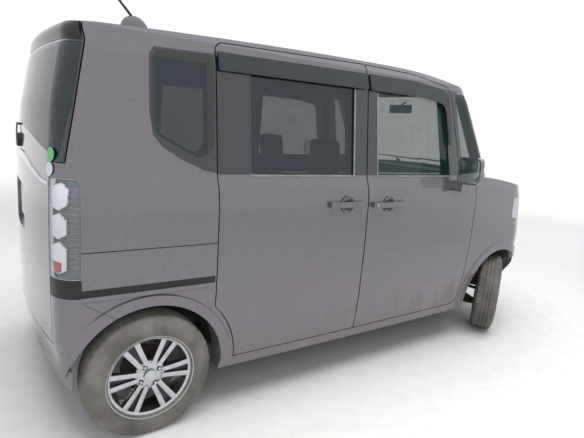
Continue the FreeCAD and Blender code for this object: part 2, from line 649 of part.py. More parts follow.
def build_fender():
    """Front wing: a thin skin from the door gap to the lamp, with its wheel lip."""
    inner = lower_form(d.fender_wall).common(bonnet_form(d.fender_wall))
    wing = nose_skin.common(side_prism(fender_corners)).common(outboard).common(below_belt).cut(inner)
    lip = front_flare.common(side_prism(fender_corners)).cut(inner)
    pillar_room = lower_form(d.fender_wall).common(block(-FAR, d.bulkhead_x, -SIDE, 0, 0, FAR))
    return wing.cut(pillar_room).fuse(lip).cut(front_arch).removeSplitter()


def build_bonnet():
    """Bonnet skin between the wings, its rear edge following the windscreen."""
    inner = lower_form(d.bonnet_wall).common(bonnet_form(d.bonnet_wall))
    top = nose_skin.common(block(600, FAR, -d.bonnet_half, 0, d.bonnet_lip, FAR)).cut(inner)
    behind = Part.makeCylinder(float(d.screen_bow_radius), FAR,
                               vec(d.cowl_gap_x + GAP - d.screen_bow_radius, 0, 0))
    x, z = d.bonnet_hinge_x, d.bonnet_hinge_height
    low, high = 4 - d.bonnet_half, 14 - d.bonnet_half
    arm_corners = [(x - 2, z - 9, 0), (x + 60, z - 34, 0), (x + 60, z - 16, 0), (x + 4, z + 8, 0)]
    eye = across(d.hinge_pin + d.running_fit, x, z, low - 1, high + 1)
    hinge = side_prism(arm_corners, low, high).fuse(across(9, x, z, low, high)).cut(eye)
    return both(top.cut(behind).fuse(hinge))


def build_cowl():
    """Panel at the foot of the windscreen that carries the wipers."""
    plate = block(d.bulkhead_x, FAR, -d.cowl_half, 0, d.belt - d.cowl_wall, d.belt)
    bow = Part.makeCylinder(float(d.screen_bow_radius), FAR, vec(d.cowl_gap_x - d.screen_bow_radius, 0, 0))
    pin = across(d.hinge_pin, d.bonnet_hinge_x, d.bonnet_hinge_height, -d.bonnet_half + 3, -d.cowl_half)
    return both(plate.common(bow).fuse(pin))


def build_bumper():
    """Front bumper skin with its wheel lips and the barred intake."""
    body = nose_skin.common(side_prism(bumper_corners)).cut(lower_form(d.bumper_wall))
    lip = front_flare.common(side_prism(bumper_corners)).cut(lower_form(d.bumper_wall))
    intake = end_prism([(-d.intake_half, d.intake_low, 0), (1, d.intake_low, 0), (1, d.intake_high, 0),
                        (-d.intake_half + 40, d.intake_high, 30)], 1300, 1800)
    bars = block(1300, 1800, -d.intake_half, 1, d.intake_low + 45, d.intake_low + 45 + d.grille_bar)
    bars = bars.fuse(bars.translated(Vector(0, 0, 48)))
    rail = lower_form(12).common(bars.common(intake)).cut(lower_form(d.bumper_wall))
    bed = block(half_length - d.plate_flat, FAR, -d.plate_half, 1, d.front_plate_height - 90,
                d.front_plate_height + 90)
    screw = plate_screw(half_length - d.bumper_wall - 20, d.front_plate_height)
    return both(body.fuse(lip).cut([front_arch, intake, bed, screw]).fuse(rail))


def plate_screw(x, height):
    """Screw hole of a number plate, lying along the car on its right half."""
    return Part.makeCylinder(float(d.plate_screw_radius), 150, vec(x, -d.plate_screw_half, height),
                             Vector(1, 0, 0))


def build_grille():
    """Upper grille between the lamps: a frame with level bars."""
    field = block(600, FAR, -d.lamp_inner, 0, d.lamp_bottom, d.bonnet_lip - GAP)
    slab = nose_skin.common(field).cut(lower_form(d.grille_depth))
    slots = []
    pitch = (d.bonnet_lip - GAP - d.lamp_bottom) / 4
    for row in range(4):
        low = d.lamp_bottom + pitch * row + d.grille_bar / 2
        slots.append(block(600, FAR, -d.lamp_inner + 24, 1, low, low + pitch - d.grille_bar))
    return both(slab.cut(slots))


screen_field = screen_prism().common(block(600, FAR, -SIDE, 0, d.belt, FAR))
screen = screen_field.common(upper_skin).cut(upper_form(d.glass_wall))
publish("windscreen", both(screen))
publish("fenders", pair(build_fender()))
publish("bonnet", build_bonnet())
publish("cowl_panel", build_cowl())
publish("front_bumper", build_bumper())
publish("front_grille", build_grille())
headlamp = nose_skin.common(side_prism(lamp_corners)).common(block(600, FAR, -SIDE, -d.lamp_inner, 0, FAR))
publish("headlamps", pair(headlamp.cut(lower_form(d.lamp_depth))))


# Roof and tail


def build_roof():
    """Roof skin between the side rails, from the windscreen to the tailgate seam."""
    field = block(-FAR, FAR, -d.roof_side, 0, d.gate_head - 30, FAR)
    skin = upper_skin.common(field).cut(upper_form(d.roof_wall))
    return both(skin.cut([screen_prism(), gate_prism(d.panel_gap)]))


def spoiler_prism():
    """Side outline of the spoiler over the rear window."""
    tip = -half_length + 22
    return side_prism([
        (d.gate_seam_x, d.roof_top + 30, 0), (tip, d.roof_top + 30, 0), (tip, 1706, 8), (tip + 14, 1684, 8),
        (d.gate_seam_x - 60, d.gate_head + 2, 20), (d.gate_seam_x, d.gate_head + 2, 0)], -d.spoiler_half, 0)


def build_spoiler():
    """Spoiler: the roof line carried back past the rear window."""
    rear = float(d.roof_rear_radius)
    crown = crowned_sector(float(d.roof_apex_x), float(d.roof_top) - rear, rear, float(d.roof_crown_radius),
                           -4.2, 4.2, 900)
    plan = Part.makeCylinder(float(d.tail_bow_radius), FAR, vec(d.tail_bow_radius - half_length + 22, 0, 0))
    plan = plan.common(block(-FAR, 0, -SIDE, 0, 0, FAR))
    return both(spoiler_prism().common(crown).common(plan).cut(upper_form(d.spoiler_skin)))


def build_gate():
    """Tailgate: lower panel with the plate recess, frame round the rear window."""
    prism = gate_prism().common(block(-FAR, 0, -SIDE, 0, 0, FAR))
    gate = panel(prism, lower_form(d.gate_wall), upper_form(d.gate_wall))
    hole = end_prism([(-d.gate_half + 75, 1305, 30), (1, 1305, 0), (1, d.gate_head - 60, 0),
                      (-d.gate_half + 105, d.gate_head - 60, 40)], -FAR, -1300)
    glass_bed = gate_glass_prism().cut(upper_form(d.glass_wall))
    recess = end_prism([(-d.recess_half, d.recess_low, 14), (1, d.recess_low, 0), (1, d.recess_high, 0),
                        (-d.recess_half, d.recess_high, 14)], -FAR, -half_length + d.recess_depth)
    spoiler_bed = spoiler_prism().cut(upper_form(d.spoiler_skin))
    screw = plate_screw(-half_length - 20, d.rear_plate_screw_height)
    return both(gate.cut([hole, glass_bed, recess, spoiler_bed, screw]))


def gate_glass_prism():
    """Rear window outline, wrapping round both corners."""
    wide = end_prism(rear_glass_corners, -FAR, -1300).common(block(-FAR, 0, -SIDE, 0, 0, FAR))
    edge = side_prism([
        (d.gate_foot_x - 5, d.gate_waist, 0), (d.gate_head_x - 6, d.gate_head, 0),
        (-FAR, d.gate_head, 0), (-FAR, d.gate_waist, 0)])
    return wide.common(edge)


def build_gate_glass():
    return both(gate_glass_prism().common(upper_skin).cut(upper_form(d.glass_wall)).cut(spoiler_prism()))


def build_rear_bumper():
    """Rear bumper: low under the tailgate, raised to the lamp trim at both corners."""
    body = lower_skin.common(side_prism(rear_bumper_corners)).cut(lower_form(d.bumper_wall))
    lip = rear_flare.common(side_prism(rear_bumper_corners)).cut(lower_form(d.bumper_wall))
    opening = block(-FAR, -1400, -d.gate_half - GAP, 1, d.gate_bottom - GAP, FAR)
    return both(body.cut(opening).fuse(lip).cut(rear_arch))


publish("roof_panel", build_roof())
publish("tailgate", build_gate())
publish("tailgate_glass", build_gate_glass())
publish("rear_spoiler", build_spoiler())
publish("rear_bumper", build_rear_bumper())
tail_lamp = lower_skin.common(tail_lamp_prism).common(outside_gate).cut(lamp_floor)
publish("tail_lamps", pair(tail_lamp))
rail = lower_form(1.5).common(rail_prism).common(outside_gate).cut(rail_floor)
publish("slide_rails", pair(rail))


# Mirrors, wipers and antenna


def mirror_outline(inset):
    """Corners of the mirror housing in end view, drawn in by inset."""
    out, inn = inset - d.mirror_reach, -d.mirror_inner - inset
    low, high = d.mirror_low + inset, d.mirror_high - inset
    return [(out, low, 38 - inset), (inn, low, 30 - inset), (inn, high, 24 - inset), (out, high, 40 - inset)]


def build_mirror():
    """Door mirror: a rounded housing on a foot, open toward the rear round the glass."""
    tip = d.mirror_x + 92
    housing = end_prism(mirror_outline(0), d.mirror_x, tip)
    side = side_prism([
        (d.mirror_x, d.mirror_low - 5, 0), (d.mirror_x + 50, d.mirror_low - 5, 0),
        (tip, d.mirror_low + 52, 30),
        (tip, d.mirror_high - 62, 30), (d.mirror_x + 44, d.mirror_high + 5, 0),
        (d.mirror_x, d.mirror_high + 5, 0)])
    plan = Part.Face(rounded_wire([
        (d.mirror_x, -d.mirror_reach - 5, 0), (d.mirror_x + 26, -d.mirror_reach - 5, 0),
        (tip, -d.mirror_reach + 76, 40),
        (tip, -d.mirror_inner - 20, 20), (d.mirror_x + 60, -d.mirror_inner + 5, 0),
        (d.mirror_x, -d.mirror_inner + 5, 0)],
        lambda a, b: Vector(a, b, 1000))).extrude(Vector(0, 0, 400))
    glass_bed = end_prism(mirror_outline(9), d.mirror_x - 1, d.mirror_x + 5)
    foot = side_prism([
        (d.mirror_x - 10, d.mirror_foot_low, 14), (d.mirror_x + 72, d.mirror_foot_low, 14),
        (d.mirror_x + 62, d.mirror_low + 12, 10), (d.mirror_x + 6, d.mirror_low + 12, 10)],
        -d.mirror_inner - 46, -d.mirror_root).cut(lower_skin)
    return housing.common(side).common(plan).cut(glass_bed).fuse(foot).removeSplitter()


mirror = build_mirror()
publish("mirror_right", mirror)
publish("mirror_left", mirrored(mirror))


def rod(start, end, radius):
    """A round bar between two points."""
    run = end - start
    return Part.makeCylinder(float(radius), run.Length, start, run)


def build_rear_wiper():
    """Rear wiper parked along the foot of the rear window: cap, arm and blade."""
    cap = end_prism([(-45, 1200, 20), (45, 1200, 20), (45, 1260, 28), (-45, 1260, 28)], -half_length + 1,
                    -1600)
    cap = cap.common(block(-FAR, -1600, -SIDE, 0, 0, FAR)).cut(upper_skin)
    return both(cap)


def build_antenna():
    """Whip antenna leaning back on a small foot."""
    spot = upper_skin.common(block(-1250, -1240, -305, -295, 1600, FAR)).optimalBoundingBox()
    foot = vec(-1245, -300, spot.ZMax - 6)
    base = Part.makeCone(20, 9, 26, foot, Vector(-0.25, 0, 1))
    mast = rod(foot + Vector(-4, 0, 14), foot + Vector(-117, 0, 197), 3)
    return base.fuse(mast).cut(upper_skin)


publish("rear_wiper", build_rear_wiper())
publish("antenna", build_antenna())


# Floor, wheel housings and bulkhead

front_liner_reach = d.front_arch_radius + d.liner_wall
rear_liner_reach = d.rear_arch_radius + d.liner_wall
front_housing = across(front_liner_reach, front_axle_x, d.tyre_radius, -SIDE,
                       -d.front_well_inner + d.liner_wall)
rear_housing = across(rear_liner_reach, rear_axle_x, d.tyre_radius, -SIDE, -d.rear_well_inner + d.liner_wall)


def build_floor():
    """Floor pan: a low front floor, a riser and a raised load floor, notched for the wheels."""
    front = lower_wall.common(block(d.kick_x, d.bulkhead_x, -SIDE, 0, d.floor_bottom, d.floor_top))
    rear = lower_wall.common(block(-FAR, d.kick_x, -SIDE, 0, d.load_floor - d.load_floor_wall, d.load_floor))
    riser = lower_wall.common(block(d.kick_x, d.kick_x + d.bulkhead_wall, -SIDE, 0, d.floor_top,
                                    d.load_floor))
    return both(front.fuse([rear, riser]).cut([rear_housing, front_housing]))


def build_front_housing():
    """Front wheel housing: an arched liner, its inner wall and the strut tower."""
    well = across(d.front_arch_radius, front_axle_x, d.tyre_radius, -SIDE, -d.front_well_inner)
    inner_skin = lower_form(d.bumper_wall)
    liner = front_housing.cut(well).common(inner_skin)
    low, high = front_axle_x - d.tower_half, front_axle_x + d.tower_half
    wall = block(low, high, -d.front_well_inner, -d.front_well_inner + d.liner_wall, 500,
                 d.strut_head + d.liner_wall)
    shelf = block(low, high, -SIDE, -d.front_well_inner, d.strut_head,
                  d.strut_head + d.liner_wall).common(inner_skin)
    throat = Part.makeCylinder(float(d.throat_radius), 300, vec(front_axle_x, -d.strut_head_half - 10, 480))
    pin_hole = Part.makeCylinder(float(d.damper_radius) / 2 + 2, 60,
                                 vec(front_axle_x, -d.strut_head_half, 770))
    limits = [block(-FAR, d.bulkhead_x + d.bulkhead_wall, -SIDE, 0, 0, FAR),
              block(-FAR, FAR, -SIDE, 0, 0, 345)]
    return liner.cut(throat).fuse([wall, shelf.cut(pin_hole)]).cut(limits).removeSplitter()


def build_rear_housing():
    """Rear wheel housing: an arched shell with its inner wall above the load floor's underside."""
    well = across(d.rear_arch_radius, rear_axle_x, d.tyre_radius, -SIDE, -d.rear_well_inner)
    shell = rear_housing.cut(well).common(lower_wall)
    under = block(-FAR, FAR, -d.rear_well_inner, 0, 0, d.load_floor - d.load_floor_wall)
    return shell.cut([under, block(-FAR, FAR, -SIDE, 0, 0, d.floor_top)]).removeSplitter()


publish("floor_pan", build_floor())
front_liner = build_front_housing()
rear_liner = build_rear_housing()
publish("wheel_housings", Part.makeCompound([front_liner, mirrored(front_liner), rear_liner,
                                             mirrored(rear_liner)]))
wall_field = block(d.bulkhead_x, d.bulkhead_x + d.bulkhead_wall, -SIDE, 0, d.floor_bottom,
                   d.belt - d.cowl_wall)
publish("bulkhead", both(wall_field.common(lower_form(d.fender_wall)).cut(front_housing)))


# Running gear: the front wheels turn about inclined kingpins


def on_plane(body, role, name, lift=0.0, turn=0.0):
    """Empty sketch on one of the body's own planes."""
    sketch = body.newObject("Sketcher::SketchObject", name)
    sketch.AttachmentSupport = [(next(item for item in body.Origin.OriginFeatures if item.Role == role), "")]
    sketch.MapMode = "FlatFace"
    sketch.AttachmentOffset = Placement(vec(0, 0, lift), Rotation(Vector(0, 0, 1), float(turn)))
    return sketch


def hold(sketch, kind, index, point, size, axis):
    """Hold one coordinate of a sketch point at a size from the sheet, on either side of the origin."""
    if float(size) == 0:
        sketch.addConstraint(Sketcher.Constraint("PointOnObject", index, point, axis))
        return
    ends = (-1, 1, index, point) if float(size) > 0 else (index, point, -1, 1)
    number = sketch.addConstraint(Sketcher.Constraint(kind, *ends, abs(float(size))))
    if isinstance(size, Size):
        sketch.setExpression("Constraints[{}]".format(number),
                             size.formula if float(size) > 0 else (-size).formula)


def outline_sketch(body, role, name, corners, lift=0.0, turn=0.0):
    """Closed outline of straight lines, each corner held by its two coordinates."""
    sketch = on_plane(body, role, name, lift, turn)
    count = len(corners)
    for index, (a, b) in enumerate(corners):
        following = corners[(index + 1) % count]
        sketch.addGeometry(Part.LineSegment(vec(a, b, 0), vec(following[0], following[1], 0)))
    for index in range(count):
        sketch.addConstraint(Sketcher.Constraint("Coincident", index, 2, (index + 1) % count, 1))
    for index, (a, b) in enumerate(corners):
        hold(sketch, "DistanceX", index, 1, a, -2)
        hold(sketch, "DistanceY", index, 1, b, -1)
    return sketch


def cut_and_repeat(body, name, sketch, depth, count):
    """Pocket a sketch into the wheel's face and repeat it round the axle."""
    before = body.Shape.Volume
    pocket = body.newObject("PartDesign::Pocket", name)
    pocket.Profile = sketch
    pocket.setExpression("Length", depth.formula)
    doc.recompute()
    if body.Shape.Volume >= before:
        raise RuntimeError("{} cuts nothing".format(name))
    pattern = body.newObject("PartDesign::PolarPattern", name + "_ring")
    pattern.Originals = [pocket]
    pattern.Axis = (next(item for item in body.Origin.OriginFeatures if item.Role == "Z_Axis"), [""])
    pattern.Angle = 360
    pattern.Occurrences = count
    body.Tip = pattern
    doc.recompute()


def build_rim(name, place):
    """Alloy wheel: turned barrel and face, six windows between slotted spokes, four lug holes."""
    body = doc.addObject("PartDesign::Body", name)
    lip, seat, wall = d.rim_lip_radius, d.bead_radius, d.rim_wall
    edge, face = d.rim_half_width, d.face_height
    back = face - d.face_wall
    disc_front = d.disc_wall - d.disc_offset
    profile = [
        (0, d.bore_end), (0, face), (d.cap_radius, face), (d.cap_radius, face - d.face_dish),
        (d.hub_radius, face - d.face_dish), (d.hub_radius, face - 4), (seat - 8, face - 4), (seat - 2, edge),
        (lip, edge),
        (lip, edge - 4), (seat, edge - 4), (seat, 4 - edge), (lip, 4 - edge), (lip, -edge),
        (seat - wall, -edge),
        (seat - wall, back), (d.hub_radius - 4, back), (d.hub_radius - 4, disc_front),
        (d.disc_radius, disc_front),
        (d.disc_radius, -d.disc_offset), (d.bore_radius, -d.disc_offset), (d.bore_radius, d.bore_end),
    ]
    sketch = outline_sketch(body, "XZ_Plane", name + "_section", profile)
    turned = body.newObject("PartDesign::Revolution", name + "_turned")
    turned.Profile = sketch
    turned.ReferenceAxis = (sketch, ["V_Axis"])
    turned.Angle = 360
    doc.recompute()
    inner, outer = d.spoke_window_inner, d.spoke_window_outer
    window = [
        (inner, -7), (outer * 0.88, -outer * 0.38), (outer * 0.98, -outer * 0.16),
        (outer * 0.98, outer * 0.16), (outer * 0.88, outer * 0.38), (inner, 7),
    ]
    depth = edge - back + 12
    shape = outline_sketch(body, "XY_Plane", name + "_window_shape", window, edge)
    cut_and_repeat(body, name + "_window", shape, depth, 6)
    slot = [(inner + 12, -2.5), (outer - 6, -8), (outer - 6, 8), (inner + 12, 2.5)]
    shape = outline_sketch(body, "XY_Plane", name + "_slot_shape", slot, edge, 30)
    cut_and_repeat(body, name + "_slot", shape, depth, 6)
    lug = on_plane(body, "XY_Plane", name + "_lug_shape", edge)
    lug.addGeometry(Part.Circle(vec(d.lug_circle, 0, 0), Vector(0, 0, 1), float(d.lug_hole)))
    hold(lug, "DistanceX", 0, 3, d.lug_circle, -2)
    hold(lug, "DistanceY", 0, 3, 0, -1)
    number = lug.addConstraint(Sketcher.Constraint("Radius", 0, float(d.lug_hole)))
    lug.setExpression("Constraints[{}]".format(number), d.lug_hole.formula)
    cut_and_repeat(body, name + "_lug", lug, edge - face + d.face_dish + 10, 4)
    body.Label = name
    body.Placement = place
    nodes.append(body)


def tyre_shape():
    """Tyre held between the rim's flanges, turned about the wheel's own axis."""
    half = float(d.rim_half_width) - 4 - float(d.running_fit)
    bead = float(d.bead_radius + d.running_fit)
    ring = Part.makeCylinder(float(d.tyre_radius), 2 * half, Vector(0, 0, -half))
    return ring.cut(Part.makeCylinder(bead, 2 * half, Vector(0, 0, -half)))


def kingpin(side):
    """Foot and head of the steering axis; side is -1 on the right and 1 on the left."""
    foot = vec(front_axle_x, side * d.ball_half, d.ball_height)
    head = vec(front_axle_x, side * d.strut_head_half, d.strut_head)
    return foot, head


def steered(side, angle):
    """Placement that turns a front wheel about its kingpin, positive to the left."""
    foot, head = kingpin(side)
    turn = Rotation(head - foot, float(angle))
    return Placement(foot - turn.multVec(foot), turn)


def wheel_place(x, side, height):
    """Wheel placement with its face outwards."""
    return Placement(vec(x, side * wheel_y, height), Rotation(Vector(1, 0, 0), -90 * side))


def front_height():
    """Axle height at which a steered front wheel just meets the ground."""
    tyre = tyre_shape()
    tyre.Placement = steered(-1, d.steer_rest).multiply(wheel_place(front_axle_x, -1, d.tyre_radius))
    return float(d.tyre_radius) - tyre.optimalBoundingBox().ZMin


axle_height = front_height()


def ridged_sleeve(x, y, low, high, outer, inner, turns):
    """Coil spring drawn as a ridged sleeve turned about an upright axis."""
    pitch = (high - low) / turns
    points = [Vector(x, y, low)]
    for turn in range(turns):
        points.append(Vector(x + outer, y, low + pitch * (turn + 0.25)))
        points.append(Vector(x + inner, y, low + pitch * (turn + 0.75)))
    points += [Vector(x, y, high), Vector(x, y, low)]
    return Part.Face(Part.makePolygon(points)).revolve(Vector(x, y, 0), Vector(0, 0, 1), 360)


def knuckle_shape():
    """Right steering knuckle with stub axle, caliper, damper and spring, standing straight ahead."""
    foot, head = kingpin(-1)
    x = float(front_axle_x)
    strut_y = -float(d.strut_head_half)
    head_z = float(d.strut_head)
    face = -float(wheel_y) + float(d.disc_offset) + 6
    carrier = across(52, x, axle_height, face, face + 26)
    stub = across(d.bore_radius - d.running_fit, x, axle_height, face - 31, face)
    leg = block(x - 20, x + 20, face + 4, face + 26, d.ball_height + 14, axle_height)
    clamp = block(x - 22, x + 22, face + 4, strut_y, axle_height + 30, axle_height + 116)
    tube = rod(Vector(x, strut_y, axle_height + 30), Vector(x, strut_y, head_z - 200), d.damper_radius)
    shaft = rod(Vector(x, strut_y, head_z - 200), Vector(x, strut_y, head_z + 12), d.damper_radius / 2 - 1)
    cup = rod(Vector(x, strut_y, head_z - 210), Vector(x, strut_y, head_z - 204), d.spring_radius)
    plate = rod(Vector(x, strut_y, head_z - 20), Vector(x, strut_y, head_z - 14), d.spring_radius)
    spring = ridged_sleeve(x, strut_y, head_z - 204, head_z - 20, float(d.spring_radius),
                           float(d.spring_radius) - 16, 3)
    arm = block(x - 118, x, face + 8, face + 24, axle_height - 46, axle_height - 28)
    caliper = block(x - 128, x - 66, face - 30, face + 22, axle_height - 8, axle_height + 66)
    caliper = caliper.common(across(138, x, axle_height, -SIDE, 0)).cut(
        across(d.disc_radius + 6, x, axle_height, face - 24, face))
    bridge = block(x - 70, x - 30, face + 2, face + 22, axle_height + 4, axle_height + 40)
    stud = rod(foot, foot + Vector(0, 0, 20), 7)
    return carrier.fuse([
        stub, leg, clamp, tube, shaft, cup, plate, spring, arm, caliper, bridge, stud,
        Part.makeSphere(9, foot)])


for side_name, side in (("right", -1), ("left", 1)):
    knuckle = knuckle_shape()
    publish("knuckle_" + side_name, knuckle if side < 0 else mirrored(knuckle), steered(side, d.steer_rest))
    for end_name, place in (
            ("front", steered(side, d.steer_rest).multiply(wheel_place(front_axle_x, side, axle_height))),
            ("rear", wheel_place(rear_axle_x, side, d.tyre_radius))):
        build_rim("rim_{}_{}".format(end_name, side_name), place)
        publish("tyre_{}_{}".format(end_name, side_name), tyre_shape(), place)


# Chassis pieces seen from below


def build_subframe():
    """Front subframe with lower arms, ball sockets and the steering rack's housing."""
    low, high = d.subframe_height - 25, d.subframe_height + 25
    half = d.arm_inner
    rear, front = d.subframe_rear_x, d.subframe_front_x
    rail = block(rear, front, -half, -half + 40, low, high)
    foot = block(rear, rear + 40, -half, -half + 40, low, d.floor_bottom)
    beams = [block(d.rack_x - 20, d.rack_x + 30, -half, 0, low, high),
             block(front - 50, front, -half, 0, low, high)]
    mount = block(front - 50, front, -240, -200, high, d.engine_bottom)
    x = float(front_axle_x)
    ball = float(d.ball_half)
    corners = [(d.rack_x, -half), (front - 10, -half), (x + 20, -ball), (x - 20, -ball), (d.rack_x, -half)]
    outline = Part.makePolygon([vec(a, b, d.arm_height) for a, b in corners])
    arm = Part.Face(outline).extrude(vec(0, 0, d.arm_wall))
    socket = Part.makeCylinder(20, 22, vec(x, -ball, d.arm_height - 6))
    bore = Part.makeSphere(9.3, kingpin(-1)[0])
    rack = across(d.rack_radius, d.rack_x, d.rack_height, -290, 0)
    hanger = block(d.rack_x - 15, d.rack_x + 15, -140, -100, high, d.rack_height - 5)
    return both(rail.fuse([foot, mount, arm, socket, rack, hanger] + beams).cut(bore))


def build_engine():
    """Engine and gearbox as one plain block at its real place, with the half shafts."""
    body = block(d.engine_rear_x, d.subframe_front_x, -d.engine_half, 0, d.engine_bottom, d.engine_top)
    shaft = across(12, front_axle_x, axle_height, -580, -d.engine_half)
    return both(body.fuse(shaft))


def build_rear_axle():
    """Torsion beam with trailing arms, springs, dampers and stub axles."""
    x = float(rear_axle_x)
    z = float(d.tyre_radius)
    floor_under = float(d.load_floor - d.load_floor_wall)
    pivot_x, pivot_z, pivot_y = float(d.pivot_x), float(d.pivot_height), -float(d.pivot_half)
    beam = across(d.beam_radius, d.beam_x, d.beam_height, pivot_y - 20, 0)
    arm = rod(Vector(pivot_x, pivot_y, pivot_z), Vector(x, pivot_y - 100, z), 20)
    bush = across(30, pivot_x, pivot_z, pivot_y - 30, pivot_y + 30)
    hanger = block(pivot_x - 15, pivot_x + 15, pivot_y - 20, pivot_y + 20, pivot_z, floor_under)
    carrier = block(x - 32, x + 32, -612, -500, z - 30, z + 30)
    plate = across(105, x, z, -622, -610)
    stub = across(d.bore_radius - d.running_fit, x, z, -float(wheel_y) - 7, -622)
    coil = float(d.rear_spring_radius)
    seat = Part.makeCylinder(coil + 4, 8, vec(d.beam_x, -d.rear_spring_half, d.beam_height + 22))
    spring = ridged_sleeve(
        float(d.beam_x), -float(d.rear_spring_half), float(d.beam_height) + 28, floor_under, coil, coil - 14,
        2)
    damper = rod(Vector(x, -515, z), Vector(x - 60, -450, floor_under + 30), 16)
    whole = beam.fuse([arm, bush, hanger, carrier, plate, stub, seat, spring, damper])
    return both(whole.cut(block(-FAR, FAR, -SIDE, 1, floor_under, FAR)))


def build_exhaust():
    """Exhaust: a pipe along the floor, a silencer behind the axle and a short outlet."""
    low, run, can = d.pipe_height, d.pipe_half, d.silencer_x
    route = [
        (d.engine_rear_x, run, low + 52), (1000, run, low + 40), (930, run, low), (can + 220, run, low),
        (can + 60, run, low + 75)]
    outlet = [(can - 50, 200, low + 52), (can - 130, 200, low - 2), (can - 210, 200, low - 14)]
    pieces = [across(d.silencer_radius, can, d.silencer_height, -d.silencer_half, d.silencer_half)]
    for points, radius in ((route, d.pipe_radius), (outlet, d.tailpipe_radius)):
        for start, end in zip(points, points[1:]):
            pieces.append(rod(vec(*start), vec(*end), radius))
        pieces += [Part.makeSphere(float(radius), vec(*spot)) for spot in points[1:-1]]
    return pieces[0].fuse(pieces[1:]).cut(block(d.engine_rear_x, FAR, -SIDE, SIDE, 0, FAR))


publish("front_subframe", build_subframe())
publish("engine_block", build_engine())
publish("rear_axle", build_rear_axle())
tank = block(d.tank_rear_x, d.tank_front_x, -d.tank_right, d.tank_left, d.tank_bottom, d.floor_bottom)
publish("fuel_tank", tank.makeFillet(30, [edge for edge in tank.Edges if edge.BoundBox.ZLength > 1]))
publish("exhaust", build_exhaust())


# Cabin


def column_point(run):
    """Point on the steering column's axis, run millimetres ahead of the wheel's centre."""
    tilt = math.radians(float(d.column_tilt))
    centre = vec(d.steer_wheel_x, d.steer_wheel_y, d.steer_wheel_height)
    return centre + Vector(math.sin(tilt), 0, -math.cos(tilt)) * run


def build_dashboard():
    """Dashboard across the cabin with the column shroud."""
    outline = [
        (d.bulkhead_x, d.belt - 27, 0), (d.bulkhead_x, d.dash_foot + 60, 0),
        (d.dash_face_x + 100, d.dash_foot, 20),
        (d.dash_face_x + 70, d.dash_foot + 60, 20), (d.dash_face_x, d.dash_face, 40),
        (d.dash_face_x + 10, d.dash_face + 70, 30), (d.dash_face_x + 50, d.dash_brow, 40),
        (d.dash_face_x + 160, d.dash_brow + 35, 0)]
    slab = side_prism(outline, -SIDE, 0).common(lower_form(d.body_wall + d.panel_gap))
    shroud = rod(column_point(40), column_point(215), d.column_radius)
    shroud = shroud.common(block(0, 760, -SIDE, 0, 0, FAR))
    bore = rod(column_point(20), column_point(75), d.column_pin + d.running_fit)
    return both(slab).fuse(shroud).cut(bore)


def build_steering_wheel():
    """Steering wheel: ring, three spokes, hub and the pin in the column."""
    tube = float(d.wheel_ring_tube)
    ring_radius = float(d.wheel_ring_radius)
    section = [(-1, -0.5), (-0.5, -1), (0.5, -1), (1, -0.5), (1, 0.5), (0.5, 1), (-0.5, 1), (-1, 0.5)]
    points = [Vector(ring_radius + tube * a, 0, tube * b) for a, b in section]
    ring = Part.Face(Part.makePolygon(points + points[:1])).revolve(Vector(0, 0, 0), Vector(0, 0, 1), 360)
    hub = Part.makeCylinder(52, 34, Vector(0, 0, -10))
    reach = ring_radius
    spokes = [block(0, reach, -14, 14, -6, 6)]
    for turn in (90, 180):
        spoke = spokes[0].copy()
        spoke.rotate(Vector(0, 0, 0), Vector(0, 0, 1), turn)
        spokes.append(spoke)
    pin = Part.makeCylinder(float(d.column_pin), 44, Vector(0, 0, 20))
    return ring.fuse([hub, pin] + spokes)


def build_seat(outline, half_from, half_to, head_x, head_low, head_centres):
    """A padded seat from its side outline, with headrests on short posts."""
    seat = side_prism(outline, -half_to, -half_from)
    pieces = []
    for centre in head_centres:
        half = d.headrest_width / 2
        low, high = head_low, head_low + d.headrest_height - 30
        pieces.append(side_prism([
            (head_x - d.headrest_depth / 2, low, 25), (head_x + d.headrest_depth / 2, low, 25),
            (head_x + d.headrest_depth / 2 - 12, high, 28), (head_x - d.headrest_depth / 2 - 4, high, 28)],
            centre - half, centre + half))
        for post in (-d.post_half, d.post_half):
            pieces.append(Part.makeCylinder(float(d.post_radius), 70,
                                            vec(head_x, centre + post, head_low - 60)))
    return seat.fuse(pieces)


front_outline = [
    (d.knee_x - 35, d.seat_pan, 30), (d.knee_x, d.knee_height, 40), (d.knee_x - 45, d.cushion_top, 40),
    (d.hip_x, d.hip_height, 60), (d.shoulder_x, d.shoulder_height, 40), (d.backrest_x, d.backrest_top, 40),
    (d.backrest_foot_x, d.seat_pan, 60),
]
rear_outline = [
    (d.rear_knee_x - 20, d.rear_seat_pan, 20), (d.rear_knee_x, d.hip_height, 40),
    (d.rear_knee_x - 60, d.cushion_top + 4, 40), (d.rear_hip_x, d.hip_height + 6, 60),
    (d.rear_shoulder_x, d.rear_backrest_top - 10, 40), (d.rear_backrest_x, d.rear_backrest_top, 40),
    (d.rear_backrest_x + 10, d.rear_seat_pan, 20),
]
seat_middle = (d.seat_gap + d.seat_width) / 2
front_seat = build_seat(
    front_outline, d.seat_gap / 2, d.seat_gap / 2 + d.seat_width, d.headrest_x, d.headrest_low,
    [-seat_middle])
rear_seat = build_seat(
    rear_outline, 0, d.rear_seat_half, d.rear_headrest_x, d.rear_headrest_low, [-d.rear_seat_half / 2])
publish("dashboard", build_dashboard())
publish("steering_wheel", build_steering_wheel(),
        Placement(column_point(0), Rotation(Vector(0, 0, 1), column_point(1) - column_point(0))))
publish("front_seats", pair(front_seat))
publish("rear_seat", both(rear_seat))
front_base = block(-60, 350, -540, -80, d.floor_top, d.seat_pan)
rear_base = block(-880, -600, -440, 440, d.floor_top, d.rear_seat_pan)
publish("seat_bases", Part.makeCompound([front_base, mirrored(front_base), rear_base]))


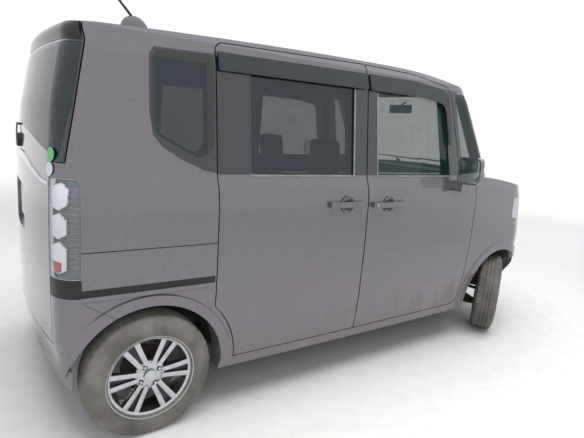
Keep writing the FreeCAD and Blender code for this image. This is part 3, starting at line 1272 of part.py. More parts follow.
doc.recompute()
for piece in list(doc.Objects):
    if "Invalid" in piece.State or "Error" in piece.State:
        raise RuntimeError("{} is not sound: {}".format(piece.Name, piece.State))
os.makedirs("parts", exist_ok=True)
for piece in nodes:
    if piece.Shape.isNull() or not piece.Shape.isValid():
        raise RuntimeError("{} has no valid shape".format(piece.Label))
    piece.Shape.exportStep("parts/{}.step".format(piece.Label))
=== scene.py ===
"""Looks of a tall five-door kei car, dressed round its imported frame. Sizes are millimetres."""

import json
import logging
import math
from dataclasses import dataclass
from enum import Enum
from functools import reduce

import bmesh
import bpy
import numpy as np
from mathutils import Matrix, Vector


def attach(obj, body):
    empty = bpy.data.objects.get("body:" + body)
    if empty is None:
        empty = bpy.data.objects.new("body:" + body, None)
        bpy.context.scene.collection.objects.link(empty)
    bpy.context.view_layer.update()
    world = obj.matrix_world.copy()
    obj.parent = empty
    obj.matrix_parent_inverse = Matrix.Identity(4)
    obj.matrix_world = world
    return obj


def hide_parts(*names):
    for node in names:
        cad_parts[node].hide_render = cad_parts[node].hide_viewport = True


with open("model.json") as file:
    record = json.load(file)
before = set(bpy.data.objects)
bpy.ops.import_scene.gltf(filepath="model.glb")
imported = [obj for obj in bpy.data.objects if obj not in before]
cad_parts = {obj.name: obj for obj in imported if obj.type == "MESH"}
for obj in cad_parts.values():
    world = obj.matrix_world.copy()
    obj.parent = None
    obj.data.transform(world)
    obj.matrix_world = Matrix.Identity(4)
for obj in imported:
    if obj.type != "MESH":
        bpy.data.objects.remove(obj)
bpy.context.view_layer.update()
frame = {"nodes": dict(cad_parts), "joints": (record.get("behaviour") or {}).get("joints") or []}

LOG = logging.getLogger("kei_car")
MM = 0.001
Socket = bpy.types.NodeSocket
Tree = bpy.types.NodeTree
Array = np.ndarray
MIRRORED = np.array([1, -1, 1])


# Colour and node helpers


def linear(code: str) -> tuple[float, float, float, float]:
    """Turn an sRGB hex colour into linear light.

    Args:
        code: Colour such as "#7d7274".

    Returns:
        Linear red, green and blue with full alpha.
    """
    srgb = np.array([int(code[i:i + 2], 16) for i in (1, 3, 5)]) / 255.0
    light = np.where(srgb <= 0.04045, srgb / 12.92, ((srgb + 0.055) / 1.055) ** 2.4)
    return (*map(float, light), 1.0)


def feed(node: bpy.types.Node, inputs: dict) -> None:
    """Give a node its inputs.

    Args:
        node: Node to feed.
        inputs: Input name or number to a value, or to a socket that is linked in.
    """
    for key, value in inputs.items():
        if isinstance(value, Socket):
            node.id_data.links.new(value, node.inputs[key])
        else:
            node.inputs[key].default_value = value


def add_node(tree: Tree, kind: str, inputs: dict | None = None, **settings: object) -> bpy.types.Node:
    """Add a node with its settings and links.

    Args:
        tree: Node tree that gets the node.
        kind: Blender's node type.
        inputs: Inputs in the form that feed takes.
        settings: Attributes set on the node.

    Returns:
        The new node.
    """
    node = tree.nodes.new(kind)
    for name, value in settings.items():
        setattr(node, name, value)
    feed(node, inputs or {})
    return node


def rise(tree: Tree, value: Socket, start: float, end: float, low: float = 0.0, high: float = 1.0) -> Socket:
    """Go smoothly from low to high while a number goes from start to end.

    Args:
        tree: Node tree.
        value: Number that drives the change.
        start: Number at which the result is low.
        end: Number at which the result is high; it may be the smaller one.
        low: Result at the start.
        high: Result at the end.

    Returns:
        The smooth step's socket.
    """
    if end < start:
        start, end, low, high = end, start, high, low
    return add_node(tree, "ShaderNodeMapRange", {
        "Value": value, "From Min": start, "From Max": end, "To Min": low, "To Max": high,
    }, interpolation_type="SMOOTHSTEP").outputs[0]


def product(tree: Tree, *values: Socket | float) -> Socket:
    """Multiply masks together."""
    return reduce(lambda mask, value: add_node(
        tree, "ShaderNodeMath", {0: mask, 1: value}, operation="MULTIPLY").outputs[0], values)


def either(tree: Tree, *values: Socket | float) -> Socket:
    """Return the greatest of several masks."""
    return reduce(lambda mask, value: add_node(
        tree, "ShaderNodeMath", {0: mask, 1: value}, operation="MAXIMUM").outputs[0], values)


def band(tree: Tree, value: Socket, low: float, high: float, soft: float) -> Socket:
    """Return a mask that is one between two numbers, with soft edges inside them."""
    return product(tree, rise(tree, value, low, low + soft), rise(tree, value, high, high - soft))


def mixed(tree: Tree, share: Socket | float, first: Socket | tuple, second: Socket | tuple) -> Socket:
    """Mix two colours by a mask."""
    return add_node(tree, "ShaderNodeMix", {0: share, 6: first, 7: second}, data_type="RGBA").outputs[2]


def without(tree: Tree, mask: Socket) -> Socket:
    """Turn a mask round: one where it is zero, down to zero where it is one."""
    return rise(tree, mask, 0.0, 1.0, 1.0, 0.0)


def backdrop_rays(tree: Tree) -> Socket:
    """Mask of the rays that see a backdrop: the camera's, mirrored ones and those through glass."""
    path = add_node(tree, "ShaderNodeLightPath")
    return either(tree, *(path.outputs["Is %s Ray" % kind] for kind in ("Camera", "Glossy", "Transmission")))


class Place:
    """The point's place on the object, and the masks and patterns that read it. Limits are millimetres."""

    def __init__(self, tree: Tree) -> None:
        """Add the coordinate nodes to a tree."""
        self.tree = tree
        source = add_node(tree, "ShaderNodeTexCoord")
        self.point = source.outputs["Object"]
        self.x, self.y, self.z = add_node(tree, "ShaderNodeSeparateXYZ", {0: self.point}).outputs
        normal = {0: source.outputs["Normal"]}
        self.nx, self.ny, self.nz = add_node(tree, "ShaderNodeSeparateXYZ", normal).outputs

    def noise(self, size: float, detail: float = 2.0, flat: float = 1.0) -> Socket:
        """Noise of a real size.

        Args:
            size: Distance between bumps.
            detail: Number of finer layers.
            flat: Scale of the height; below one, the bumps are drawn out upwards.

        Returns:
            Noise from zero to one.
        """
        spread = add_node(self.tree, "ShaderNodeMapping", {"Vector": self.point, "Scale": (1, 1, flat)})
        return add_node(self.tree, "ShaderNodeTexNoise", {
            "Vector": spread.outputs[0], "Scale": 1 / (size * MM), "Detail": detail}).outputs[0]

    def waves(self, period: float, way: str, distortion: float = 0.0) -> Socket:
        """Sine bands of a real period across an axis: at scale one, 20 of them fill two pi metres."""
        return add_node(self.tree, "ShaderNodeTexWave", {
            "Vector": self.point, "Scale": math.tau / 20 / (period * MM), "Distortion": distortion,
        }, bands_direction=way).outputs["Fac"]

    def edge(self, value: Socket, start: float, end: float) -> Socket:
        """Smooth step along a length."""
        return rise(self.tree, value, start * MM, end * MM)

    def box(self, x: tuple[float, float], z: tuple[float, float], soft: float = 1.0) -> Socket:
        """Mask of a box in side view."""
        return product(self.tree, band(self.tree, self.x, x[0] * MM, x[1] * MM, soft * MM),
                       band(self.tree, self.z, z[0] * MM, z[1] * MM, soft * MM))

    def outline(self, corners: tuple[tuple[float, float], ...], soft: float = 1.0) -> Socket:
        """Mask of a convex outline in side view, as the product of a smooth step inwards from each side.

        Args:
            corners: Corners as (x, z), anticlockwise.
            soft: Width of the soft edge.

        Returns:
            The mask.
        """
        sides = []
        for (x0, z0), (x1, z1) in zip(corners, corners[1:] + corners[:1]):
            run = math.hypot(x1 - x0, z1 - z0)
            nx, nz = (z0 - z1) / run, (x1 - x0) / run
            inwards = add_node(self.tree, "ShaderNodeVectorMath", {0: self.point, 1: (nx, 0, nz)},
                               operation="DOT_PRODUCT").outputs[1]
            start = x0 * nx + z0 * nz
            sides.append(self.edge(inwards, start, start + soft))
        return product(self.tree, *sides)

    def stroke(self, start: tuple[float, float], end: tuple[float, float], width: float) -> Socket:
        """Mask of a straight line in side view."""
        half = width / 2 / math.dist(start, end)
        x, z = (end[0] - start[0]) * half, (end[1] - start[1]) * half
        corners = tuple((at[0] + way * z, at[1] - way * x)
                        for at, way in ((start, 1), (end, 1), (end, -1), (start, -1)))
        return self.outline(corners, width / 4)

    def size_of(self, value: Socket) -> Socket:
        """A number without its sign."""
        return add_node(self.tree, "ShaderNodeMath", {0: value}, operation="ABSOLUTE").outputs[0]

    def facing_in(self) -> Socket:
        """Mask of the faces of a side panel that look at the car's middle."""
        side = add_node(self.tree, "ShaderNodeMath", {0: self.y}, operation="SIGN").outputs[0]
        return rise(self.tree, product(self.tree, side, self.ny), -0.3, -0.5)

    def bump(self, height: Socket, reach: float, strength: float = 1.0) -> Socket:
        """Bump normal from a height pattern that is reach deep."""
        return add_node(self.tree, "ShaderNodeBump", {
            "Height": height, "Distance": reach * MM, "Strength": strength}).outputs[0]


# Finishes


@dataclass(frozen=True)
class Finish:
    """A surface finish: two close tones in soft clouds, and a fine grain of a real size and depth."""

    name: str
    colour: str
    shade: str
    roughness: float = 0.5
    metallic: float = 0.0
    grain: float = 3.0
    depth: float = 0.0

    def material(self) -> bpy.types.Material:
        """Return the material, made the first time that it is asked for."""
        found = bpy.data.materials.get(self.name)
        if found is not None:
            return found
        material = bpy.data.materials.new(self.name)
        material.use_nodes = True
        tree = material.node_tree
        tree.nodes.clear()
        shader = add_node(tree, "ShaderNodeBsdfPrincipled", {
            "Roughness": self.roughness, "Metallic": self.metallic})
        add_node(tree, "ShaderNodeOutputMaterial", {"Surface": shader.outputs[0]})
        self.compose(tree, shader, Place(tree))
        return material

    def tones(self, tree: Tree, share: Socket) -> Socket:
        """Go from the colour to the shade by a mask."""
        return mixed(tree, share, linear(self.colour), linear(self.shade))

    def compose(self, tree: Tree, shader: bpy.types.Node, place: Place) -> None:
        """Link the clouded colour, the uneven gloss and the grain."""
        grain = place.noise(self.grain, 3)
        feed(shader, {
            "Base Color": self.tones(tree, rise(tree, place.noise(CLOUD, 4), 0.35, 0.7)),
            "Roughness": rise(tree, grain, 0.2, 0.8, self.roughness - 0.06, self.roughness + 0.08)})
        if self.depth:
            feed(shader, {"Normal": place.bump(grain, self.depth)})


class Panel(Enum):
    """Kinds of painted panel; each has its own trim in the cabin, black frames and seams."""

    PLAIN = "metallic_lacquer"
    SIDE = "metallic_lacquer_side"
    DOOR = "metallic_lacquer_door"
    ROOF = "metallic_lacquer_roof"
    GATE = "metallic_lacquer_gate"


@dataclass(frozen=True)
class BodyPaint(Finish):
    """Metallic base coat under clear lacquer: violet grey with fine glitter, and dust near the road."""

    panel: Panel = Panel.PLAIN

    def trim_mask(self, tree: Tree, place: Place) -> Socket | None:
        """Mask of the trimmed faces that look into the cabin, where the panel has any."""
        if self.panel in (Panel.SIDE, Panel.DOOR):
            rear = product(tree, rise(tree, place.nx, 0.4, 0.6), place.edge(place.x, -1470, -1500))
            head = product(tree, rise(tree, place.nz, -0.4, -0.6), place.edge(place.z, 1600, 1620))
            return either(tree, place.facing_in(), rear, head)
        if self.panel is Panel.ROOF:
            return rise(tree, place.nz, -0.3, -0.5)
        if self.panel is Panel.GATE:
            return rise(tree, place.nx, 0.3, 0.5)
        return None

    def frame_mask(self, tree: Tree, place: Place) -> Socket | None:
        """Mask of the black window frames, where the panel has any."""
        if self.panel is Panel.DOOR:
            return place.box(*DOOR_FRAME)
        if self.panel is Panel.SIDE:
            lean = add_node(tree, "ShaderNodeMath", {0: place.z, 1: PILLAR_LEAN, 2: place.x},
                            operation="MULTIPLY_ADD").outputs[0]
            strip = band(tree, lean, *(limit * MM for limit in (*PILLAR_STRIP, 1)))
            return either(tree, product(tree, strip, place.box(*PILLAR_BOX)), place.outline(QUARTER_BORDER))
        if self.panel is Panel.GATE:
            beside = place.edge(place.size_of(place.y), GLASS_HALF - 4, GLASS_HALF)
            flank = product(tree, beside, place.edge(place.z, GLASS_FOOT, GLASS_FOOT + 4))
            return either(tree, place.edge(place.z, GLASS_HEAD, GLASS_HEAD + 3), flank)
        return None

    def swell(self, tree: Tree, place: Place) -> Socket:
        """Bump of the soft wave round the rear wheel: a smooth step of the distance from its centre."""
        x, z = (value * MM for value in SWELL_CENTRE)
        spot = add_node(tree, "ShaderNodeCombineXYZ", {0: place.x, 1: x, 2: place.z}).outputs[0]
        far = add_node(tree, "ShaderNodeVectorMath", {0: spot, 1: (x, x, z)}, operation="DISTANCE").outputs[1]
        ring = place.edge(far, SWELL_RADIUS + 7, SWELL_RADIUS - 7)
        return place.bump(product(tree, ring, place.edge(place.z, 500, 680)), 7)

    def compose(self, tree: Tree, shader: bpy.types.Node, place: Place) -> None:
        """Layer glitter, dust, seams, frames and cabin trim."""
        flake = add_node(tree, "ShaderNodeTexVoronoi", {"Vector": place.point, "Scale": 1 / (FLAKE * MM)})
        coat = self.tones(tree, rise(tree, flake.outputs["Color"], 0.4, 1.0, 0.0, 0.4))
        patches = rise(tree, place.noise(140, 5, 0.5), 0.35, 0.75)
        dust = product(tree, place.edge(place.z, *DUST_HEIGHTS), patches, 0.55)
        colour = mixed(tree, dust, coat, linear(ROAD_DUST))
        metal = rise(tree, dust, 0.0, 0.5, self.metallic, 0.1)
        rough = rise(tree, dust, 0.0, 0.4, self.roughness, 0.7)
        gloss = rise(tree, dust, 0.0, 0.3, 1.0, 0.15)
        if self.panel is Panel.SIDE:
            ends = zip(BUMPER_SEAM, BUMPER_SEAM[1:])
            line = either(tree, place.box(*RAIL_SEAM, 0.6), *(place.stroke(*pair, 4.5) for pair in ends))
            colour = mixed(tree, line, colour, linear(SEAM_BLACK))
            gloss = product(tree, gloss, without(tree, line))
        frames = self.frame_mask(tree, place)
        if frames is not None:
            colour = mixed(tree, frames, colour, linear(FRAME_BLACK))
            metal = product(tree, metal, without(tree, frames))
        trim = self.trim_mask(tree, place)
        if trim is not None:
            cloth = mixed(tree, place.edge(place.z, 1120, 1160), linear("#2c2b2c"), linear("#a39e96"))
            if self.panel is Panel.ROOF:
                cloth = mixed(tree, place.noise(4, 3), linear("#aaa59c"), linear("#98938b"))
            colour = mixed(tree, trim, colour, cloth)
            away = without(tree, trim)
            metal = product(tree, metal, away)
            gloss = product(tree, gloss, away)
            rough = either(tree, rough, rise(tree, trim, 0.0, 1.0, 0.0, 0.75))
        feed(shader, {"Base Color": colour, "Metallic": metal, "Roughness": rough, "Coat Weight": gloss,
                      "Coat Roughness": 0.05})
        if self.panel in (Panel.SIDE, Panel.DOOR):
            bump = self.swell(tree, place)
            feed(shader, {"Normal": bump, "Coat Normal": bump})


@dataclass(frozen=True)
class WindowGlass(Finish):
    """Tempered float glass: see-through, its tint shows in depth, and it mirrors the sky at a slant.

    frit is a box in side view, ((x, x), (z, z)), round which a black printed border is opaque.
    """

    clear: float = 0.42
    frit: tuple[tuple[float, float], tuple[float, float]] | None = None

    def compose(self, tree: Tree, shader: bpy.types.Node, place: Place) -> None:
        """Set the tint, the slanting mirror and the printed border."""
        slant = add_node(tree, "ShaderNodeLayerWeight", {"Blend": 0.5}).outputs["Facing"]
        cover = rise(tree, slant, 0.45, 1.0, 1 - self.clear, 0.95)
        dusty = rise(tree, place.noise(60, 4), 0.4, 0.8, 0.0, 0.04)
        cover = add_node(tree, "ShaderNodeMath", {0: cover, 1: dusty}, operation="ADD",
                         use_clamp=True).outputs[0]
        colour = self.tones(tree, place.noise(400, 1))
        if self.frit is not None:
            border = without(tree, place.box(*self.frit, 3))
            cover = either(tree, cover, border)
            colour = mixed(tree, border, colour, linear(FRIT_BLACK))
        feed(shader, {"Base Color": colour, "Alpha": cover, "Roughness": 0.02, "IOR": 1.7})


@dataclass(frozen=True)
class Lens(Finish):
    """Injection-moulded acrylic lamp cover: clear with a hard bright surface."""

    clear: float = 0.9

    def compose(self, tree: Tree, shader: bpy.types.Node, place: Place) -> None:
        """Set the clear body and the bright slanting edge."""
        slant = add_node(tree, "ShaderNodeLayerWeight", {"Blend": 0.5}).outputs["Facing"]
        feed(shader, {
            "Base Color": self.tones(tree, place.noise(12, 2)),
            "Alpha": rise(tree, slant, 0.5, 1.0, 1 - self.clear, 0.6), "Roughness": 0.04, "IOR": 1.49})


@dataclass(frozen=True)
class Tyre(Finish):
    """Carbon-black rubber, vulcanised in a mould: dull, with tan dust on the walls and in the grooves."""

    def compose(self, tree: Tree, shader: bpy.types.Node, place: Place) -> None:
        """Mix dust over the rubber and grain the wall."""
        cloud = rise(tree, place.noise(120, 5), 0.25, 0.75, 0.35, 1.0)
        grain = place.noise(self.grain, 2)
        feed(shader, {
            "Base Color": self.tones(tree, product(tree, cloud, 0.9)),
            "Roughness": rise(tree, cloud, 0.0, 1.0, 0.72, 0.95), "Normal": place.bump(grain, 0.15, 0.6)})


@dataclass(frozen=True)
class PaleFloor(Finish):
    """Painted studio floor: pale by the car, where it takes the shadow, and white in the distance."""

    def compose(self, tree: Tree, shader: bpy.types.Node, place: Place) -> None:
        """Fade from the lit floor to plain white with the distance, for the rays that see a backdrop."""
        super().compose(tree, shader, place)
        length = add_node(tree, "ShaderNodeVectorMath", {0: place.point}, operation="LENGTH")
        share = product(tree, backdrop_rays(tree), place.edge(length.outputs["Value"], *FLOOR_FADE))
        white = add_node(tree, "ShaderNodeEmission", {"Color": WHITE, "Strength": 1.0}).outputs[0]
        fade = add_node(tree, "ShaderNodeMixShader", {0: share, 1: shader.outputs[0], 2: white}).outputs[0]
        feed(next(node for node in tree.nodes if node.type == "OUTPUT_MATERIAL"), {"Surface": fade})


@dataclass(frozen=True)
class CastWheel(Finish):
    """Cast aluminium wheel: faces cut bright on a lathe and lacquered; the darker tone on every face that
    turns away from the outside is partly the pockets' dark paint and partly painted shade on the sides of the
    bars.
    """

    def compose(self, tree: Tree, shader: bpy.types.Node, place: Place) -> None:
        """Split the dark tone from the bright faces by the way that the surface faces: the dark tone is
        partly the pockets' paint and partly painted shade.
        """
        # painted shade: faces that turn away from the outside, such as the bars' sides, take the dark tone
        face = rise(tree, place.size_of(place.ny), 0.62, 0.8)
        grain = place.noise(self.grain, 3)
        dust = rise(tree, place.noise(30, 4), 0.45, 0.8, 0.0, 0.5)
        feed(shader, {
            "Base Color": mixed(tree, dust, self.tones(tree, face), linear(BRAKE_DUST)),
            "Metallic": rise(tree, dust, 0.0, 1.0, 0.85, 0.3),
            "Roughness": rise(tree, grain, 0.2, 0.8, 0.24, 0.36), "Coat Weight": 0.6, "Coat Roughness": 0.1})


@dataclass(frozen=True)
class Woven(Finish):
    """Woven seat cloth with a soft sheen; its threads are coarser than real, so that they show."""

    thread: float = 4.354

    def compose(self, tree: Tree, shader: bpy.types.Node, place: Place) -> None:
        """Cross the thread waves of three axes, tint the threads and add the sheen."""
        threads = [place.waves(self.thread, way, 0.6) for way in ("Y", "Z", "X")]
        weave = product(tree, either(tree, threads[0], threads[1]), either(tree, threads[0], threads[2]))
        feed(shader, {
            "Base Color": self.tones(tree, weave), "Sheen Weight": 0.35, "Sheen Roughness": 0.4,
            "Roughness": 0.85, "Normal": place.bump(weave, 0.4, 0.7)})


@dataclass(frozen=True)
class Ribbed(Finish):
    """Moulded smoke plastic with level ribs, and painted highlight and shade along them."""

    rib: float = 7.917

    def compose(self, tree: Tree, shader: bpy.types.Node, place: Place) -> None:
        """Run level ribs up the piece, and paint them lighter and darker with their rise and fall as
        highlight and shade.
        """
        wave = place.waves(self.rib, "Z")
        # painted highlight and shade: the colour follows the same wave as the ribs' bump
        feed(shader, {
            "Base Color": self.tones(tree, wave), "Roughness": 0.3, "Normal": place.bump(wave, 1.5)})


WHITE = (1.0, 1.0, 1.0, 1.0)
CLOUD = 90.0  # width of the clouds of a finish
FLAKE = 1.6  # width of the paint's glitter, coarser than real so that it shows
ROAD_DUST, BRAKE_DUST = "#9c9286", "#8d857b"
SEAM_BLACK, FRAME_BLACK, FRIT_BLACK = "#151314", "#141a21", "#0c0d0e"
DUST_HEIGHTS = (620.0, 240.0)  # the dust thickens from the first height down to the second
FLOOR_FADE = (3000.0, 9000.0)  # the floor turns white between these distances

# Places of the painted patterns: boxes are ((x, x), (z, z)) and points are (x, z), in side view

DOOR_FRAME = ((-1005.0, 790.0), (1152.0, 1672.0))
PILLAR_LEAN = 0.22  # the black strip of the front pillar leans back by this share of its height
PILLAR_STRIP = (900.0, 1005.0)
PILLAR_BOX = ((560.0, 780.0), (1152.0, 1668.0))
QUARTER_BORDER = (
    (-1281.0, 1400.0), (-1268.0, 1306.0), (-1230.0, 1259.0), (-1151.0, 1211.0), (-1051.0, 1167.0),
    (-993.0, 1156.0), (-993.0, 1658.0), (-1255.0, 1650.0), (-1276.0, 1620.0))
QUARTER_PANE = ((-1262.0, -1036.0), (1212.0, 1612.0))
GLASS_HALF, GLASS_FOOT, GLASS_HEAD = 570.0, 1176.0, 1634.0  # the tailgate's black edge begins here
RAIL_SEAM = ((-1552.0, -994.0), (851.0, 855.5))
BUMPER_SEAM = ((-1551.0, 668.0), (-1535.0, 643.0), (-1414.0, 566.0))
SWELL_CENTRE, SWELL_RADIUS = (-1277.5, 278.0), 509.0

# Lacquered metallic paint, sprayed: a clear deep shine over soft glitter
PAINTS = {panel: BodyPaint(panel.value, "#68646b", "#918c97", roughness=0.28, metallic=0.6, panel=panel)
          for panel in Panel}
# Tempered privacy glass: dark blue grey from outside, and the cabin just shows through
PRIVACY = WindowGlass("privacy_glass", "#0a1e2a", "#0d2532")
QUARTER = WindowGlass("privacy_glass_quarter", "#0a1e2a", "#0d2532", frit=QUARTER_PANE)
# Clear float glass: a green cast, and the sky at a slant
GREEN = WindowGlass("green_float_glass", "#23423f", "#1d3a38", clear=0.68)
# Polished moulded polycarbonate: black with a hard wet shine
GLOSS_BLACK = Finish("gloss_black_polycarbonate", "#0d0e10", "#15171a", roughness=0.12)
# Drawn smoked acrylic: nearly black, with a smooth even shine
SMOKE = WindowGlass("smoked_acrylic", "#0a141f", "#101c29", clear=0.1)
# Polypropylene with a moulded grain: dull black that greys in the light
RESIN = Finish("grained_polypropylene", "#1c1d1f", "#26272a", roughness=0.55, grain=1.4, depth=0.12)
# Coated aluminium extrusion: satin black with one long highlight
RAIL = Finish("satin_black_extrusion", "#08090c", "#0d0e12", roughness=0.4, grain=4)
# Weathered rubber seal: flat light grey
SEAL = Finish("window_seal_rubber", "#77797b", "#8b8d8e", roughness=0.5, grain=6)
# Chromed plastic: a mirror with a cool cast
CHROME = Finish("chromed_plastic", "#d4d8db", "#c3c8cc", roughness=0.08, metallic=1.0)
# Cast aluminium: bright turned faces over dark pockets, with painted shade on the sides of the bars, dulled
# by brake dust
ALLOY = CastWheel("lathe_cut_alloy_with_painted_shade", "#66676a", "#bfc1c5", grain=2.5)
# Baked enamel in the wheel's webs: satin dark grey
POCKET = Finish("grey_wheel_enamel", "#3a3b3d", "#4a4a4b", roughness=0.45, metallic=0.4, grain=3)
# Vulcanised rubber under road dust: matt brown grey
RUBBER = Tyre("vulcanised_rubber", "#2f2e2d", "#827e77", grain=1.5)
# Sprayed sound-deadening coat: rough and nearly black, with dust
WELL = Finish("sound_deadening_coat", "#1d1c1b", "#3a352f", roughness=0.85, grain=5, depth=0.5)
# Cast iron with a film of dust: rough dark brown
IRON = Finish("cast_iron_with_dust", "#3a3634", "#5c4e42", roughness=0.75, metallic=0.4, grain=3, depth=0.2)
# Aluminised sheet steel: dull silver with heat stains
STEEL = Finish("aluminised_steel", "#7c7974", "#5f574e", roughness=0.45, metallic=0.85, grain=4, depth=0.08)
# Soft moulded polymer: matt charcoal without a highlight
DASH = Finish("soft_dash_polymer", "#26262a", "#303034", roughness=0.6, grain=1.2, depth=0.15)
# Woven polyester: dark threads with a soft sheen at the edges
CLOTH = Woven("woven_seat_cloth", "#201f1e", "#34332f")
# Clear moulded acrylic: see-through, with bright edges
LENS = Lens("clear_acrylic_lens", "#c9d0d4", "#bcc5ca")
# White diffuser acrylic: milky and even
CELL = Finish("white_diffuser_acrylic", "#eceef0", "#dfe2e5", roughness=0.25, grain=5, depth=0.15)
# Red reflex acrylic: deep red with a fine relief
RED = Finish("red_reflex_acrylic", "#c3272c", "#a81a22", roughness=0.15, grain=4, depth=0.6)
# Vacuum-metallised plastic: a bright silver reflector
SILVER = Finish("vacuum_metallised_plastic", "#cfd3d6", "#b4b9bd", roughness=0.16, metallic=1.0)
# Smoked moulded acrylic: grey, with painted highlight and shade in level light and dark lines along its ribs
RIBS = Ribbed("smoked_ribbed_acrylic_painted_rib_shade", "#6a7073", "#3c4144")
# Enamelled aluminium sheet: flat white with a slight shine
BLANK = Finish("enamelled_aluminium_plate", "#e9e9e4", "#dcdcd6", roughness=0.35, grain=8)
# Silvered glass: a true mirror
MIRROR = Finish("silvered_glass", "#c9d2d4", "#c2cccf", roughness=0.02, metallic=1.0)
# Vinyl film: flat colour with a soft shine
GREEN_DISC = Finish("green_vinyl_film", "#57b96e", "#49ab62", roughness=0.4)
WHITE_DISC = Finish("white_vinyl_film", "#cfd9de", "#bccad2", roughness=0.4)
# Unlit display glass: black and glossy
SCREEN = Finish("unlit_display_glass", "#0a0c10", "#0e1116", roughness=0.08)
# Painted studio floor: matt and pale
FLOOR = PaleFloor("pale_floor", "#e6e3df", "#e1deda", roughness=0.9, grain=8)


# Mesh building


def turned_about(axis: Array, degrees: float) -> Array:
    """Rotation matrix about an axis."""
    return np.array(Matrix.Rotation(math.radians(degrees), 3, Vector(axis)))


class Shell:
    """Closed surfaces gathered into one mesh; every surface is a grid of points in millimetres."""

    def __init__(self) -> None:
        """Start empty."""
        self.points: list[Array] = []
        self.faces: list[Array] = []
        self.kinds: list[Array] = []
        self.count = 0

    def grid(self, points: Array, wrap_u: bool = False, wrap_v: bool = False,
             kind: int | Array = 0) -> "Shell":
        """Add a grid surface: face (i, j) joins points i, i+1 and j, j+1, and wraps where asked.

        Args:
            points: Grid of points, shape (rows, columns, 3).
            wrap_u: Whether the last row meets the first.
            wrap_v: Whether the last column meets the first.
            kind: Finish number, or one for each face.

        Returns:
            This shell, for the next surface.
        """
        rows, columns = points.shape[:2]
        i = np.arange(rows if wrap_u else rows - 1)[:, None]
        j = np.arange(columns if wrap_v else columns - 1)[None, :]
        after_i, after_j = (i + 1) % rows, (j + 1) % columns
        corners = (i * columns + j, after_i * columns + j, after_i * columns + after_j, i * columns + after_j)
        faces = np.stack([corner + 0 * (i + j) for corner in corners], axis=-1).reshape(-1, 4)
        self.points.append(points.reshape(-1, 3).astype(float))
        self.faces.append(faces + self.count)
        self.kinds.append(np.broadcast_to(np.ravel(kind), len(faces)).astype(int))
        self.count += rows * columns
        return self

    def slab(self, outer: Array, inner: Array, kind: int | Array = 0) -> "Shell":
        """Add a closed plate between two grids: the front rows run on over the edge into the back rows."""
        side = np.concatenate([outer, inner[::-1]], axis=0)
        rows = outer.shape[0]
        self.grid(side, wrap_u=True, kind=0 if np.ndim(kind) else kind)
        if np.ndim(kind):
            full = np.zeros((2 * rows, outer.shape[1] - 1), int)
            full[:rows - 1] = kind
            self.kinds[-1] = full.ravel()
        first = 0 if np.ndim(kind) else kind
        for edge, back in ((outer[:, 0], inner[:, 0]), (inner[:, -1], outer[:, -1])):
            self.grid(np.stack([edge, back], axis=1), kind=first)
        return self

    def mirror(self) -> "Shell":
        """Add the same surfaces on the other side of the car, turned so that they still face outwards."""
        points = [block * MIRRORED for block in self.points]
        faces = [block[:, ::-1] + self.count for block in self.faces]
        self.points += points
        self.faces += faces
        self.kinds += [block.copy() for block in self.kinds]
        self.count *= 2
        return self

    def box(self, low: tuple[float, float, float], high: tuple[float, float, float], round_off: float = 2.0,
            kind: int = 0, turn: Array | None = None, at: Array | None = None) -> "Shell":
        """Add a block with rounded edges: a sphere's points pushed out to the corners of a smaller box.

        Args:
            low: Lowest corner.
            high: Highest corner.
            round_off: Edge radius.
            kind: Finish number.
            turn: Rotation about the block's own middle.
            at: Where the middle goes, if not between the corners.

        Returns:
            This shell.
        """
        low, high = np.array(low, float), np.array(high, float)
        u = np.linspace(0, math.pi, 10)[:, None]
        v = once_round(16)[None, :] + math.pi / 16
        ball = np.stack([np.sin(u) * np.cos(v), np.sin(u) * np.sin(v), np.cos(u) + 0 * v], axis=-1)
        half = np.maximum((high - low) / 2 - round_off, 0)
        points = np.sign(ball) * half + ball * round_off
        if turn is not None:
            points = points @ turn.T
        middle = (low + high) / 2 if at is None else at
        return self.grid(points + middle, wrap_v=True, kind=kind).capped(16)

    def capped(self, columns: int) -> "Shell":
        """Close both ends of the last wrapped grid, each by a ring of faces that run to its middle."""
        rows = self.points[-1].reshape(-1, columns, 3)
        kind = int(self.kinds[-1][0])
        for ring in (rows[0][::-1], rows[-1]):
            middle = np.broadcast_to(ring.mean(axis=0), ring.shape)
            self.grid(np.stack([ring, middle]), wrap_v=True, kind=kind)
        return self

    def sweep(self, path: Array, width: Array, height: Array, up: Array, kind: int = 0, sides: int = 12,
              power: float = 0.7) -> "Shell":
        """Carry an oval section along a path: its cosine and sine are raised to a power.

        A power of one makes an ellipse, and a smaller one squares it off.

        Args:
            path: Points of the centre-line, shape (n, 3).
            width: Half width across the up direction, one or one for each point.
            height: Half height along the up direction, one or one for each point.
            up: Up direction, one or one for each point.
            kind: Finish number.
            sides: Points round the section.
            power: Power of the section's cosine and sine.

        Returns:
            This shell.
        """
        path = np.asarray(path, float)
        tangent = np.gradient(path, axis=0)
        tangent /= np.linalg.norm(tangent, axis=1, keepdims=True)
        up = np.broadcast_to(np.asarray(up, float), path.shape)
        across = np.cross(tangent, up)
        across /= np.linalg.norm(across, axis=1, keepdims=True)
        up = np.cross(across, tangent)
        turn = once_round(sides) + 1e-3
        shape = np.stack([np.sign(wave) * abs(wave) ** power for wave in (np.cos(turn), np.sin(turn))])
        width = np.broadcast_to(width, len(path))[:, None, None]
        height = np.broadcast_to(height, len(path))[:, None, None]
        points = (path[:, None] + across[:, None] * width * shape[0][None, :, None]
                  + up[:, None] * height * shape[1][None, :, None])
        return self.grid(points, wrap_v=True, kind=kind).capped(sides)

